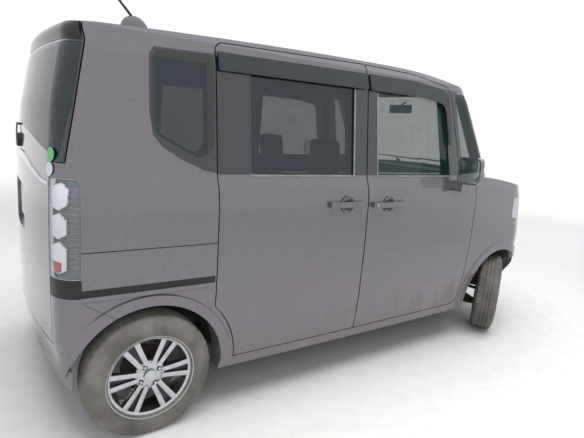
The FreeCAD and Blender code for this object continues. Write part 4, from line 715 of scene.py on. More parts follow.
    def turned(self, profile: Array, frame_axes: Array, centre: Array, steps: int = 48, kind: int | Array = 0,
               loop: bool = False) -> "Shell":
        """Turn a profile about an axis.

        Args:
            profile: Rows of (radius, height along the axis).
            frame_axes: Three unit vectors as rows; the third is the axis.
            centre: Point on the axis at height zero.
            steps: Number of steps round.
            kind: Finish number or one for each profile run and step.
            loop: Whether the profile closes on itself.

        Returns:
            This shell.
        """
        angle = once_round(steps)[None, :, None]
        radius, height = profile[:, 0][:, None, None], profile[:, 1][:, None, None]
        ring = np.cos(angle) * frame_axes[0] + np.sin(angle) * frame_axes[1]
        points = centre + radius * ring + height * frame_axes[2]
        return self.grid(points, wrap_u=loop, wrap_v=True, kind=kind)

    def piece(self, name: str, finishes: list[Finish], body: str, slot: str, nodes: tuple[str, ...] = (),
              crease: float = 35.0) -> bpy.types.Object:
        """Make the object: merge doubles, face outwards, shade smooth up to the crease and ride on its body.

        Args:
            name: Piece name.
            finishes: Finishes in the order of the surfaces' numbers.
            body: CAD body that carries the piece.
            slot: Material slot of the record; not used.
            nodes: CAD nodes that the piece stands for.
            crease: Angle above which an edge stays sharp, in degrees.

        Returns:
            The object.
        """
        mesh = bpy.data.meshes.new(name)
        mesh.from_pydata((np.concatenate(self.points) * MM).tolist(), [], np.concatenate(self.faces).tolist())
        for finish in finishes:
            mesh.materials.append(finish.material())
        mesh.polygons.foreach_set("material_index", np.concatenate(self.kinds).astype(np.int32))
        work = bmesh.new()
        work.from_mesh(mesh)
        bmesh.ops.remove_doubles(work, verts=work.verts, dist=2e-6)
        bmesh.ops.dissolve_degenerate(work, edges=work.edges, dist=1e-7)
        bmesh.ops.recalc_face_normals(work, faces=work.faces)
        for edge in work.edges:
            edge.smooth = len(edge.link_faces) == 2 and edge.calc_face_angle(0.0) < math.radians(crease)
        for face in work.faces:
            face.smooth = True
        work.to_mesh(mesh)
        work.free()
        made = bpy.data.objects.new(name, mesh)
        bpy.context.scene.collection.objects.link(made)
        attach(made, body)
        if nodes:
            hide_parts(*nodes)
        LOG.info("%s: %d faces on %s", name, len(mesh.polygons), body)
        return made


# The body's skin, as the frame has it


SKIN_ROWS = np.array([  # height, tuck of the side, of the tail, of the nose; windscreen at the middle
    (225, 37, 62, 66, 1631.5), (320, 19, 26, 16, 1681.5), (480, 5, 2, 0, 1697.5), (720, 0, 0, 4, 1693.5),
    (1000, 3, 2, 45, 1652.5), (1080, 13, 5, 70, 1627.5), (1145, 37.5, 8, 97, 1133), (1400, 69.5, 31, 97, 998),
    (1610, 96, 73, 97, 880), (1700, 122, 111, 97, 826), (1790, 192, 182, 97, 770),
], float)


@dataclass(frozen=True)
class Skin:
    """Outer skin of the right half: bowed side, bowed tail and nose, corner arcs between them."""

    half_length: float = 1697.5
    half_width: float = 737.5
    widest_x: float = -120.0
    side_bow: float = 49300.0
    tail_bow: float = 3400.0
    nose_bow: float = 1500.0
    screen_bow: float = 2000.0
    tail_corner: float = 110.0
    nose_corner: float = 230.0

    def row(self, z: Array, column: int) -> Array:
        """Read one column of the skin table at given heights."""
        return np.interp(z, SKIN_ROWS[:, 0], SKIN_ROWS[:, column])

    def side(self, x: Array, z: Array, proud: float | Array = 0.0) -> Array:
        """Points of the side: half width less the tuck, less x squared over twice the bow's radius."""
        x, z = np.broadcast_arrays(np.asarray(x, float), np.asarray(z, float))
        half = self.half_width - self.row(z, 1) - (x - self.widest_x) ** 2 / (2 * self.side_bow)
        return np.stack([x, -(half + proud), z], axis=-1)

    def tail(self, y: Array, z: Array, proud: float | Array = 0.0) -> Array:
        """Points of the tail: its length less the tuck and less y squared over twice the bow's radius."""
        y, z = np.broadcast_arrays(np.asarray(y, float), np.asarray(z, float))
        x = self.half_length - self.row(z, 2) - y ** 2 / (2 * self.tail_bow)
        return np.stack([-(x + proud), y, z], axis=-1)

    def screen(self, y: Array, z: Array, proud: float | Array = 0.0) -> Array:
        """Points of the windscreen, bowed about its own radius."""
        y, z = np.broadcast_arrays(np.asarray(y, float), np.asarray(z, float))
        return np.stack([self.row(z, 4) + proud - y ** 2 / (2 * self.screen_bow), y, z], axis=-1)

    def wrap(self, z: Array, share: Array, inner: float, outer: Array, nose: bool, depth: Array) -> Array:
        """Points that run round a corner: along the end's bow, the corner's arc, and the side's bow.

        The arc's centre is where two circles cross: the bows of side and end, each less the corner's radius.

        Args:
            z: Heights, shape (rows, 1).
            share: Share of the way from the inner edge to the outer, shape (1, columns).
            inner: Distance of the inner edge from the car's middle.
            outer: X of the outer edge on the side, shape (rows, 1).
            nose: True at the nose, False at the tail.
            depth: How far the points lie inside the skin, shape (rows, columns).

        Returns:
            Points, shape (rows, columns, 3).
        """
        sign = 1.0 if nose else -1.0
        end, corner = (self.nose_bow, self.nose_corner) if nose else (self.tail_bow, self.tail_corner)
        tip = sign * (self.half_length - self.row(z, 3 if nose else 2))
        half = self.half_width - self.row(z, 1)
        side_at = np.stack([0 * z + self.widest_x, self.side_bow - half], axis=-1)
        end_at = np.stack([tip - sign * end, 0 * z], axis=-1)
        line = end_at - side_at
        length = np.linalg.norm(line, axis=-1, keepdims=True)
        unit = line / length
        to_side, to_end = self.side_bow - corner, end - corner
        along = (to_side ** 2 - to_end ** 2 + length ** 2) / (2 * length)
        off = np.sqrt(to_side ** 2 - along ** 2)
        normal = np.stack([unit[..., 1], -unit[..., 0]], axis=-1)
        picks = [side_at + unit * along + normal * off * way for way in (1, -1)]
        centre = np.where(sign * picks[0][..., :1] > sign * picks[1][..., :1], picks[0], picks[1])
        on_side = side_at + (centre - side_at) * self.side_bow / to_side
        on_end = end_at + (centre - end_at) * end / to_end
        first = np.arcsin(inner / end)
        last = np.arcsin(-on_end[..., 1] / end)
        way_a, way_b = (on_end - centre) / corner, (on_side - centre) / corner
        sweep = np.arccos(np.clip((way_a * way_b).sum(-1), -1, 1))
        lean = sign * (outer - centre[..., 0]) / corner
        missed = corner * np.clip(np.arccos(sign * way_b[..., 0]) - np.arccos(np.clip(lean, 0, 1)), 0, None)
        flank = np.maximum(sign * (on_side[..., 0] - outer), 0)
        runs = [end * (last - first), corner * sweep]
        s = share * (runs[0] + runs[1] + flank - np.where(flank > 0, 0, missed))
        angle = first + np.clip(s / end, 0, last - first)
        way = np.stack([sign * np.cos(angle), -np.sin(angle)], axis=-1)
        on_bow = end_at + end * way
        turn = np.clip((s - runs[0]) / corner, 0, sweep)
        share_a, share_b = (np.sin(part)[..., None] for part in (sweep - turn, turn))
        arc_way = (share_a * way_a + share_b * way_b) / np.sin(sweep)[..., None]
        on_arc = centre + corner * arc_way
        x = on_side[..., 0] - sign * np.maximum(s - runs[0] - runs[1], 0)
        fall = (x - self.widest_x) ** 2 / (2 * self.side_bow)
        on_flank = np.stack([x, -(half - fall)], axis=-1)
        flat = np.stack([0 * s, 0 * s - 1], axis=-1)
        in_bow, in_arc = (s < runs[0])[..., None], (s < runs[0] + runs[1])[..., None]
        plan = np.where(in_bow, on_bow, np.where(in_arc, on_arc, on_flank))
        outward = np.where(in_bow, way, np.where(in_arc, arc_way, flat))
        plan = plan - outward * np.asarray(depth)[..., None]
        return np.concatenate([plan, np.broadcast_to(z, s.shape)[..., None]], axis=-1)


SKIN = Skin()


def once_round(steps: int) -> Array:
    """Angles of equal steps once round, the last one short of the first."""
    return np.linspace(0, math.tau, steps, endpoint=False)


def smooth(value: Array, low: float, high: float) -> Array:
    """Smooth step: 3 t squared less 2 t cubed, t going from 0 at low to 1 at high."""
    t = np.clip((value - low) / (high - low), 0, 1)
    return t * t * (3 - 2 * t)


def outside_polygon(s: Array, z: Array, corners: list[tuple[float, float]]) -> Array:
    """Distance out of a convex outline, anticlockwise: the greatest distance beyond any of its edges."""
    ring = np.array(corners, float)
    run = np.roll(ring, -1, axis=0) - ring
    out = np.stack([run[:, 1], -run[:, 0]], axis=-1) / np.linalg.norm(run, axis=1, keepdims=True)
    return np.max([(s - p[0]) * n[0] + (z - p[1]) * n[1] for p, n in zip(ring, out)], axis=0)


# Sub-assemblies


def at_faces(field: Array) -> Array:
    """Turn a value at each point of a grid into one for each face: the mean of two opposite corners."""
    return (field[:-1, :-1] + field[1:, 1:]) / 2


def on_axis(name: str) -> tuple[Array, Array]:
    """Return a point on a joint's axis and the axis, from the frame."""
    joint = next(item for item in frame["joints"] if item["name"] == name)
    return np.array(joint["pos_m"], float) / MM, np.array(joint["axis"], float)


@dataclass
class Bodywork:
    """The painted panels, glass and trim that the frame already carries, each with its finish."""

    def finishes(self) -> dict[Finish, str]:
        """Finishes, and the starts of the CAD node names that take them; the longest that fits is used."""
        return {
            PAINTS[Panel.PLAIN]: "fenders bonnet front_bumper rear_bumper mirror_",
            PAINTS[Panel.SIDE]: "body_side", PAINTS[Panel.DOOR]: "slide_door_ front_door_",
            PAINTS[Panel.ROOF]: "roof_panel", PAINTS[Panel.GATE]: "tailgate",
            PRIVACY: "slide_door_glass tailgate_glass", QUARTER: "quarter_glass",
            GREEN: "front_door_glass corner_glass windscreen", SMOKE: "slide_door_visors front_door_visor",
            RESIN: "cowl_panel rear_wiper antenna seat_bases", GLOSS_BLACK: "front_grille rear_spoiler",
            RAIL: "slide_rails", SILVER: "headlamps", LENS: "tail_lamps", ALLOY: "rim_", RUBBER: "tyre_",
            WELL: "floor_pan wheel_housings bulkhead fuel_tank", IRON: "knuckle_ front_subframe rear_axle",
            STEEL: "engine_block exhaust", DASH: "dashboard steering_wheel", CLOTH: "front_seats rear_seat",
        }

    def build(self) -> None:
        """Give every CAD node its finish."""
        table = {start: finish for finish, starts in self.finishes().items() for start in starts.split()}
        for name, node in frame["nodes"].items():
            finish = table[max((start for start in table if name.startswith(start)), key=len)]
            for slot in node.material_slots:
                slot.material = finish.material()
            LOG.info("%s: %s", name, finish.name)


@dataclass
class CornerLamp:
    """A lamp round both corners of one end: an inside at some depth below the skin, and a clear cover."""

    inner: float
    low: float
    high: float
    border: float
    back: float
    nose: bool
    lip: float = 4.0
    bevel: float = 5.0
    cover_thickness: float = 2.5

    def outer(self, z: Array) -> Array:
        """X of the outer edge, which leans with height."""
        raise NotImplementedError

    def laid(self, rows: int, columns: int, depth: float | Array) -> Array:
        """Lay the lamp's grid round the corner at some depth below the skin."""
        z = np.linspace(self.low, self.high, rows)[:, None]
        share = np.linspace(0, 1, columns)[None, :]
        return SKIN.wrap(z, share, self.inner, self.outer(z), self.nose, depth + np.zeros((rows, columns)))

    def fields(self, rows: int, columns: int) -> tuple[Array, Array, Array]:
        """Measure the grid.

        Args:
            rows: Rows of the grid, upwards.
            columns: Columns, from the inner edge round the corner.

        Returns:
            Way round the corner, height, and distance to the nearest edge, at each point.
        """
        steps = np.linalg.norm(np.diff(self.laid(rows, columns, 0.0), axis=1), axis=-1)
        s = np.concatenate([np.zeros((rows, 1)), np.cumsum(steps, axis=1)], axis=1)
        z = np.linspace(self.low, self.high, rows)[:, None] + 0 * s
        return s, z, np.minimum(np.minimum(s, s[:, -1:] - s), np.minimum(z - self.low, self.high - z))

    def inside(self, depth: Array, edge: Array, kind: Array) -> Shell:
        """Close the inside, whose border rises to the cover by a smooth step, on both sides of the car."""
        depth = depth + (self.lip - depth) * (1 - smooth(edge, self.border - self.bevel, self.border))
        return Shell().slab(self.laid(*depth.shape, depth), self.laid(*depth.shape, self.back), kind).mirror()

    def cover(self, rows: int, columns: int) -> Shell:
        """Clear cover, level with the skin, on both sides of the car."""
        front, rear = (self.laid(rows, columns, depth) for depth in (0.0, self.cover_thickness))
        return Shell().slab(front, rear).mirror()


@dataclass
class TailLamps(CornerLamp):
    """Tail lamps round both rear corners: a silver-edged clear cover over three cells and a smoked strip."""

    inner: float = 612.0
    low: float = 748.0
    high: float = 1130.0
    border: float = 7.0
    back: float = 52.0
    nose: bool = False
    floor_depth: float = 26.0
    cell_depth: float = 9.0
    cell_reach: float = 90.0
    rib_pitch: float = 12.0
    red_top: float = 812.0

    def outer(self, z: Array) -> Array:
        """X of the outer edge, which leans forwards with height."""
        return -1549.0 + 8 * (z - 746) / 386

    def cells(self) -> list[list[tuple[float, float]]]:
        """Outlines of the three cells, as way round the corner and height, anticlockwise."""
        reach = self.cell_reach
        return [[(8, low + 10), (reach * 0.55, low), (reach, low + 20),
                 (reach, high - 28), (reach * 0.6, high), (8, high - 16)]
                for low, high in ((764, 890), (902, 1000), (1012, 1114))]

    def build(self) -> None:
        """Make the inside and the cover.

        Each cell rises out of the floor by a smooth step of the distance to its outline and has a raised rim.
        The floor beside it carries level ribs by a cosine of the height.
        """
        s, z, edge = self.fields(190, 70)
        near = np.min([outside_polygon(s, z, cell) for cell in self.cells()], axis=0)
        depth = self.floor_depth - (self.floor_depth - self.cell_depth) * (1 - smooth(near, 0, 5))
        depth += 1.5 * smooth(-near, 3, 6) * (1 - smooth(-near, 6, 9))
        ribs = 1.5 * (1 + np.cos(z * math.tau / self.rib_pitch)) * smooth(near, 5, 8)
        depth = np.where(near > 5, depth - ribs, depth)
        near, edge_at, s, z = (at_faces(field) for field in (near, edge, s, z))
        cell, strip = near < 2, (near >= 2) & (edge_at >= self.border - 2)
        reflector = (near < -2) & (z < self.red_top) & (s < self.cell_reach * 0.78)
        kind = np.select([reflector, strip, cell], [3, 2, 1], 0)
        self.inside(depth, edge, kind).piece(
            "tail_lamp_cells", [SILVER, CELL, RIBS, RED], "body", "lamp", ("tail_lamps",), 25)
        self.cover(48, 40).piece("tail_lamp_covers", [LENS], "body", "lamp")


@dataclass
class Headlamps(CornerLamp):
    """Headlamps round both front corners: a bright bowl with a projector lens behind a clear cover."""

    inner: float = 433.0
    low: float = 844.0
    high: float = 996.0
    border: float = 8.0
    back: float = 62.0
    nose: bool = True
    bowl: float = 58.0
    bowl_at: tuple[float, float] = (112.0, 921.0)
    projector: float = 27.0
    step_pitch: float = 26.0

    def outer(self, z: Array) -> Array:
        """X of the outer edge, from the bumper's corner back to the wing."""
        return 1335.0 - 10 * (z - 842) / 156

    def build(self) -> None:
        """Make the inside and the cover.

        The bowl's depth grows with one less the square of the distance from its middle over its radius, the
        projector is part of a ball, and outside the bowl a cosine makes upright steps.
        """
        s, z, edge = self.fields(90, 190)
        far = np.hypot(s - self.bowl_at[0], z - self.bowl_at[1])
        depth = 22 + 5 * np.cos(s * math.tau / self.step_pitch) * smooth(far, self.bowl + 4, self.bowl + 16)
        depth = np.where(far < self.bowl, 16 + 38 * (1 - (far / self.bowl) ** 2), depth)
        ball = 54 - 24 * np.sqrt(np.clip(1 - (far / self.projector) ** 2, 0, 1))
        depth = np.where(far < self.projector, ball, depth)
        way, span = at_faces(s), s[:-1, -1:]
        flank = (way > span - 96) & (way < span - 18)
        kind = np.select([flank, at_faces(far) < self.projector - 1], [2, 1], 0)
        self.inside(depth, edge, kind).piece(
            "headlamp_bowls", [SILVER, SCREEN, CELL], "body", "lamp", ("headlamps",), 30)
        self.cover(24, 60).piece("headlamp_covers", [LENS], "body", "lamp")


@dataclass
class TailTrim:
    """Chrome garnish, blank plates, wiper, two plain stickers, spoiler and the bumper's lower corners."""

    garnish_half: float = 603.0
    garnish_foot: float = 1104.0
    garnish_rise: float = 72.0
    plate_half: float = 165.0
    plate_height: float = 168.0
    screw_reach: float = 105.0
    blade_from: float = 24.0
    blade_to: float = 400.0
    sticker_radius: float = 27.0
    spoiler_foot: float = 1637.0
    spoiler_top: float = 1703.0
    spoiler_reach: float = 74.0
    skirt_foot: float = 236.0
    skirt_top: float = 352.0

    def garnish(self) -> None:
        """Bowed strip whose height follows a smooth hump over the plate, with an oval section."""
        y = np.linspace(-self.garnish_half, self.garnish_half, 121)
        hump = smooth(-abs(y), -self.garnish_half, -120)
        centre = SKIN.tail(y, self.garnish_foot + self.garnish_rise * hump, 1.5)
        strip = Shell().sweep(centre, 8 + 8 * hump, 4.5, [-1, 0, 0.05], sides=16)
        strip.piece("tailgate_garnish", [CHROME], "tailgate", "lamp")

    def plate(self, x: float, facing: float, low: float, name: str, body: str) -> None:
        """Blank plate with a raised rim: the height is a smooth step of the distance from the edge.

        Args:
            x: Place of its back.
            facing: Direction that it faces along X, 1 or -1.
            low: Lower edge.
            name: Piece name.
            body: Body that carries it.
        """
        high = low + self.plate_height
        y = np.linspace(-self.plate_half, self.plate_half, 90)[None, :]
        z = np.linspace(low, high, 46)[:, None]
        edge = np.minimum(self.plate_half - abs(y), np.minimum(z - low, high - z))
        screws = np.hypot(abs(y) - self.screw_reach, z - (high - 24))
        lift = 1.4 + 1.3 * smooth(edge, 1, 4) * (1 - smooth(edge, 5, 8)) + 2.2 * (1 - smooth(screws, 5, 7))
        front = np.stack([np.broadcast_to(axis, lift.shape) for axis in (x + facing * lift, y, z)], axis=-1)
        back = front.copy()
        back[..., 0] = x + facing * 0.2
        kind = np.where(at_faces(screws) < 7, 1, 0)
        Shell().slab(front, back, kind).piece(name, [BLANK, SILVER], body, "lamp", crease=50)

    def spoiler(self) -> None:
        """Band that carries the roof line over the rear window and round both corners.

        Its rear face stands off the skin by a half sine of its height, and its top runs in to the roof, whose
        crown falls with the square of the distance from the middle.
        """
        share = np.linspace(0, 1, 70)[None, :]
        up = np.linspace(0, 1, 14)[:, None]
        inward = np.linspace(0, 1, 10)[1:, None]
        run_in = np.concatenate([0 * up, inward])
        z = np.concatenate([self.spoiler_foot + (self.spoiler_top - self.spoiler_foot) * up,
                            self.spoiler_top + 0 * inward])
        turn = np.concatenate([up, 1 + 0 * inward]) ** 1.3 * 0.75 * math.pi
        proud = 2 + 15 * np.sin(turn) - self.spoiler_reach * run_in

        def lay(sink: float) -> Array:
            """Both halves of the band, sunk into the car by some millimetres."""
            half = SKIN.wrap(z, share, 0.0, -1514.0 + 0 * z, False, sink - proud + 0 * share)
            crown = np.maximum(18 * (1 - (half[..., 1] / 560) ** 2) + 4, 5)
            half[..., 2] += np.sin(run_in * math.pi / 2) * crown - sink * np.sqrt(run_in)
            return np.concatenate([half[:, ::-1] * MIRRORED, half[:, 1:]], axis=1)

        Shell().slab(lay(0.0), lay(4.0)).piece(
            "tail_spoiler", [GLOSS_BLACK], "tailgate", "black_plastic", ("rear_spoiler",), 30)

    def skirt(self) -> None:
        """Lower corners of the rear bumper: a wall that runs on down from the skin to a level edge."""
        z = np.linspace(self.skirt_foot, self.skirt_top, 16)[:, None]
        share = np.linspace(0, 1, 60)[None, :]
        depth = 1.0 + 5 * smooth(z, 300, self.skirt_top) + 0 * share
        outer = -1576 - 6 * (z - self.skirt_foot) / (self.skirt_top - self.skirt_foot)
        front, back = (SKIN.wrap(z, share, 440.0, outer, False, depth + more) for more in (0.0, 3.0))
        Shell().slab(front, back).mirror().piece("bumper_skirts", [PAINTS[Panel.PLAIN]], "body", "paint")

    def wiper(self) -> None:
        """Arm and blade parked along the foot of the rear window: ovals carried along the glass."""
        arm_y = np.linspace(-6, 215, 16)
        arm = SKIN.tail(arm_y, 1236 + 62 * smooth(arm_y, -10, 215), 13 - 3 * smooth(arm_y, 0, 200))
        arm[:, 0] = np.maximum(arm[:, 0], -1697.0)
        blade_y = np.linspace(self.blade_from, self.blade_to, 30)
        blade = SKIN.tail(blade_y, 1296 + 6 * np.cos(blade_y / 120), 6)
        shell = Shell().sweep(arm, np.linspace(9, 5, 16), 3.5, [-1, 0, 0]).sweep(blade, 4, 5, [-1, 0, 0])
        shell.piece("rear_wiper_blade", [RESIN], "tailgate", "black_plastic")

    def stickers(self) -> None:
        """Round vinyl discs lying on the glass: rings of points from the middle outwards."""
        angle = once_round(40)[None, :]
        far = np.linspace(0.001, self.sticker_radius, 8)[:, None]
        for name, y, z, finish in (
                ("sticker_upper", -606, 1214, GREEN_DISC), ("sticker_lower", -604, 1160, WHITE_DISC)):
            across, up = y + far * np.cos(angle), z + far * np.sin(angle)
            drop = np.clip(abs(across) - 600, 0, None) ** 2 / (2 * SKIN.tail_corner)
            front, back = SKIN.tail(across, up, 0.9 - drop), SKIN.tail(across, up, 0.3 - drop)
            disc = Shell().grid(np.concatenate([front, back[::-1]]), wrap_v=True)
            disc.piece(name, [finish], "tailgate", "dark_glass")

    def build(self) -> None:
        """Make every piece of tail trim, and the front plate like the rear one."""
        self.garnish()
        self.plate(-1673.5, -1, 856.0, "rear_plate", "tailgate")
        self.plate(1688.0, 1, 586, "front_plate", "body")
        self.wiper()
        self.stickers()
        self.spoiler()
        self.skirt()


@dataclass
class WindowTrim:
    """Light strips round the side windows, shoulders under the rails, antenna and small door fittings."""

    strip: float = 5.0
    stand: float = 3.0
    sill: float = 1148.0
    head: float = 1590.0
    mast_y: float = -300.0
    lock_at: tuple[float, float] = (-79.0, 998.0)

    def run(self, shell: Shell, points: list[tuple[float, float]]) -> None:
        """Carry a flat oval along the skin through corners given as (x, z)."""
        for (x0, z0), (x1, z1) in zip(points, points[1:]):
            t = np.linspace(0, 1, 12)
            path = SKIN.side(x0 + (x1 - x0) * t, z0 + (z1 - z0) * t, 0.5)
            shell.sweep(path, self.strip, self.stand, [0, -1, 0], sides=10)

    def sides(self) -> None:
        """Strips of the sliding doors, and a round shoulder of the body under each rail."""
        strips = Shell()
        self.run(strips, [(-836, self.sill), (-213, self.sill), (-213, self.head)])
        strips.mirror().piece("slide_window_strips", [SEAL], "body", "black_plastic")
        x = np.linspace(-1556, -1000, 40)
        shoulder = Shell().sweep(SKIN.side(x, 665 + 0 * x, 0.0), 11, 9, [0, -1, 0.3], sides=20, power=1.0)
        shoulder.mirror().piece("rail_shoulders", [PAINTS[Panel.PLAIN]], "body", "paint")

    def mast(self) -> None:
        """Antenna: a painted foot whose height follows a power of a half sine, and a tapered rod."""
        t = np.linspace(0, 1, 28)
        swell = np.sin(np.clip(t ** 1.3, 0, 1) * math.pi) ** 0.55
        half = 3 + 38 * swell
        spine = np.stack([-1178 - 116 * t, self.mast_y + 0 * t, 1728 + half], axis=-1)
        shell = Shell().sweep(spine, 2 + 20 * swell, half, [0, 0, 1], sides=24, power=0.9)
        run = np.linspace(0, 1, 20)
        rod = np.array([-1246.0, self.mast_y, 1796.0]) + run[:, None] * np.array([-114.0, 0.0, 124.0])
        shell.sweep(rod, 6.5 - 2.5 * run, 6.5 - 2.5 * run, [0, 1, 0], kind=1, power=1.0)
        shell.piece("antenna_mast", [PAINTS[Panel.PLAIN], RESIN], "body", "black_plastic", ("antenna",))

    def lock(self) -> Shell:
        """Round lock cylinder on the handle: rings from the middle outwards, closed behind."""
        angle = once_round(24)
        far = np.array([0.01, 5.0, 7.0, 7.5])[:, None]
        lift = np.array([35.6, 35.6, 35.0, 33.0])[:, None] + 0 * angle
        x, z = self.lock_at
        ring = SKIN.side(x + far * np.cos(angle), z + far * np.sin(angle), lift)
        back = ring[-1] + np.array([0, 3.0, 0])
        middle = np.broadcast_to(ring[-1].mean(axis=0) + np.array([0, 3.0, 0]), back.shape)
        return Shell().grid(ring, wrap_v=True).grid(np.stack([ring[-1], back, middle]), wrap_v=True)

    def build(self) -> None:
        """Make the trim of the body, then strips, mirror glass, repeater and lock of each front door."""
        self.sides()
        self.mast()
        for name in ("right", "left"):
            strips = Shell()
            self.run(strips, [(-52, self.head), (-42, self.sill), (592, self.sill)])
            glass = Shell().box((593, -893, 1122), (596.5, -752, 1267), 1.5)
            lens = Shell().box((-26, -4, -15), (26, 4, 15), 3, turn=turned_about([0, 0, 1], 50.8),
                               at=np.array([651.0, -861.0, 1208.0]))
            for shell, piece, finish, slot in (
                    (strips, "window_strip_", SEAL, "black_plastic"),
                    (glass, "mirror_glass_", MIRROR, "clear_glass"),
                    (lens, "mirror_repeater_", CELL, "lamp"), (self.lock(), "door_lock_", ALLOY, "alloy")):
                if name == "left":
                    shell.points = [block * MIRRORED for block in shell.points]
                shell.piece(piece + name, [finish], "front_door_" + name, slot)


@dataclass
class Wheel:
    """A tyre with its tread, and the cast wheel with its cap, nuts and valve."""

    name: str
    side: int
    kingpin_turn: float
    arms: int = 6
    tread_radius: float = 277.6
    tread_half: float = 60.0
    shoulder: float = 272.2
    bead: float = 186.0
    wall_share: float = 0.42
    blocks: int = 66
    groove_depth: float = 6.5
    nut_circle: float = 46.0

    def frame_axes(self) -> tuple[Array, Array]:
        """Centre of the wheel, and its forward, upward and outward axes as rows, turned about the kingpin."""
        centre, _ = on_axis("wheel_spin_" + self.name)
        turn = turned_about(np.array([0, -self.side * 0.064, 0.624]), self.kingpin_turn)
        forward, outward = turn @ np.array([1.0, 0, 0]), turn @ np.array([0, float(self.side), 0])
        return centre, np.stack([forward, np.cross(outward, forward), outward])

    def tyre(self) -> None:
        """Tyre skin over (turn, way round the section).

        The section runs from bead to bead over the wall, a round shoulder and a crowned tread. Three grooves
        go round, and slanted cuts cross the blocks: each takes depth off by smooth steps of its distance.
        """
        turn = once_round(300)[:, None]
        v = np.linspace(-1, 1, 84)[None, :]
        tread_at = v / (1 - self.wall_share)
        wall = abs(v) > 1 - self.wall_share
        across = tread_at * self.tread_half
        crown = self.tread_radius - 2.4 * tread_at ** 2 - 3.0 * abs(tread_at) ** 8
        a = np.clip((abs(v) - (1 - self.wall_share)) / self.wall_share, 0, 1)
        drop = self.shoulder - a * (self.shoulder - self.bead)
        belly = 17.2 * np.sin(np.clip(a * 1.18, 0, 1) * math.pi * 0.62) - 4.0 * smooth(a, 0.62, 1.0)
        radius = np.where(wall, drop, crown) + 0 * turn
        height = np.where(wall, np.sign(v) * (self.tread_half + belly), across) + 0 * turn
        grooves = np.min([abs(across - at) for at in (-24, 0, 24)], axis=0)
        pitch = math.tau * 277 / self.blocks
        slant = turn * 277 + 0.45 * abs(across) + np.where(v > 0, pitch / 2, 0)
        phase = abs((slant / pitch) % 1 - 0.5) * pitch
        fine = abs((slant / pitch * 2) % 1 - 0.5) * pitch / 2
        cut = np.maximum.reduce([
            self.groove_depth * (1 - smooth(grooves, 3.0, 4.4)) + 0 * turn,
            5.0 * (1 - smooth(phase, 1.2, 2.6)) * smooth(abs(across), 26, 30),
            3.0 * (1 - smooth(fine, 0.5, 1.6)) * (1 - smooth(abs(across), 20, 23))])
        notch = 2.2 * (1 - smooth(phase, 1.2, 2.6)) * (1 - smooth(a, 0.08, 0.16))
        ridge = 1.0 * (1 - smooth(abs(a - 0.80), 0.0, 0.03)) + 0.5 * (1 - smooth(abs(a - 0.3), 0.0, 0.02))
        radius = radius - np.where(wall, notch, cut)
        height = height + np.sign(v) * ridge * wall
        centre, axes = self.frame_axes()
        ring = np.cos(turn)[..., None] * axes[0] + np.sin(turn)[..., None] * axes[1]
        points = centre + radius[..., None] * ring + height[..., None] * axes[2]
        bead = np.array([[179.0, 66.0], [179.0, -66.0]])
        foot = centre + bead[None, :, :1] * ring + bead[None, :, 1:] * axes[2]
        Shell().grid(np.concatenate([points, foot], axis=1), wrap_u=True, wrap_v=True).piece(
            "tyre_tread_" + self.name, [RUBBER], "wheel_" + self.name, "tyre", ("tyre_" + self.name,), 40)

    def rim(self) -> None:
        """Cast wheel: a turned barrel and hub, and six pairs of bars that part on their way to the lip.

        A bar's centre-line leaves the arm's line by a power of its way out; a sunk web joins each pair.
        """
        centre, axes = self.frame_axes()
        barrel = np.array([
            (190, 74), (191, 71), (190, 67), (181, 62), (178.6, 30), (165, 2), (165, -32), (178.6, -48),
            (178.6, -61), (190, -67), (190, -75), (185, -75), (173, -60), (160, -34), (160, 2), (166, 28),
            (168, 50), (169, 56), (171, 58), (182, 62), (185, 68), (187, 73)])
        hub = np.array([(0.01, 50), (28, 50), (58, 49.5), (64, 46), (67, 42), (67, 22), (60, 16), (0.01, 16)])
        wheel = Shell().turned(barrel, axes, centre, 96, loop=True).turned(hub, axes, centre, 60)
        t = np.linspace(0, 1, 14)
        far = (50 + 130 * t)[:, None]
        for arm in range(self.arms):
            angle = math.tau * arm / self.arms
            out = math.cos(angle) * axes[0] + math.sin(angle) * axes[1]
            across = math.cos(angle) * axes[1] - math.sin(angle) * axes[0]
            for side in (-1, 1):
                off = side * (14 + 16 * t ** 1.2)[:, None]
                path = centre + far * out + off * across + (38 + 4 * t)[:, None] * axes[2]
                wheel.sweep(path, 11.5 + 2.5 * t ** 2, 15, axes[2], sides=16, power=0.35)
            web = centre + far * out + 34 * axes[2]
            wheel.sweep(web, 10 + 14 * t, 5, axes[2], kind=1, sides=16, power=0.35)
        wheel.piece("cast_wheel_" + self.name, [ALLOY, POCKET], "wheel_" + self.name, "alloy",
                    ("rim_" + self.name,), 30)

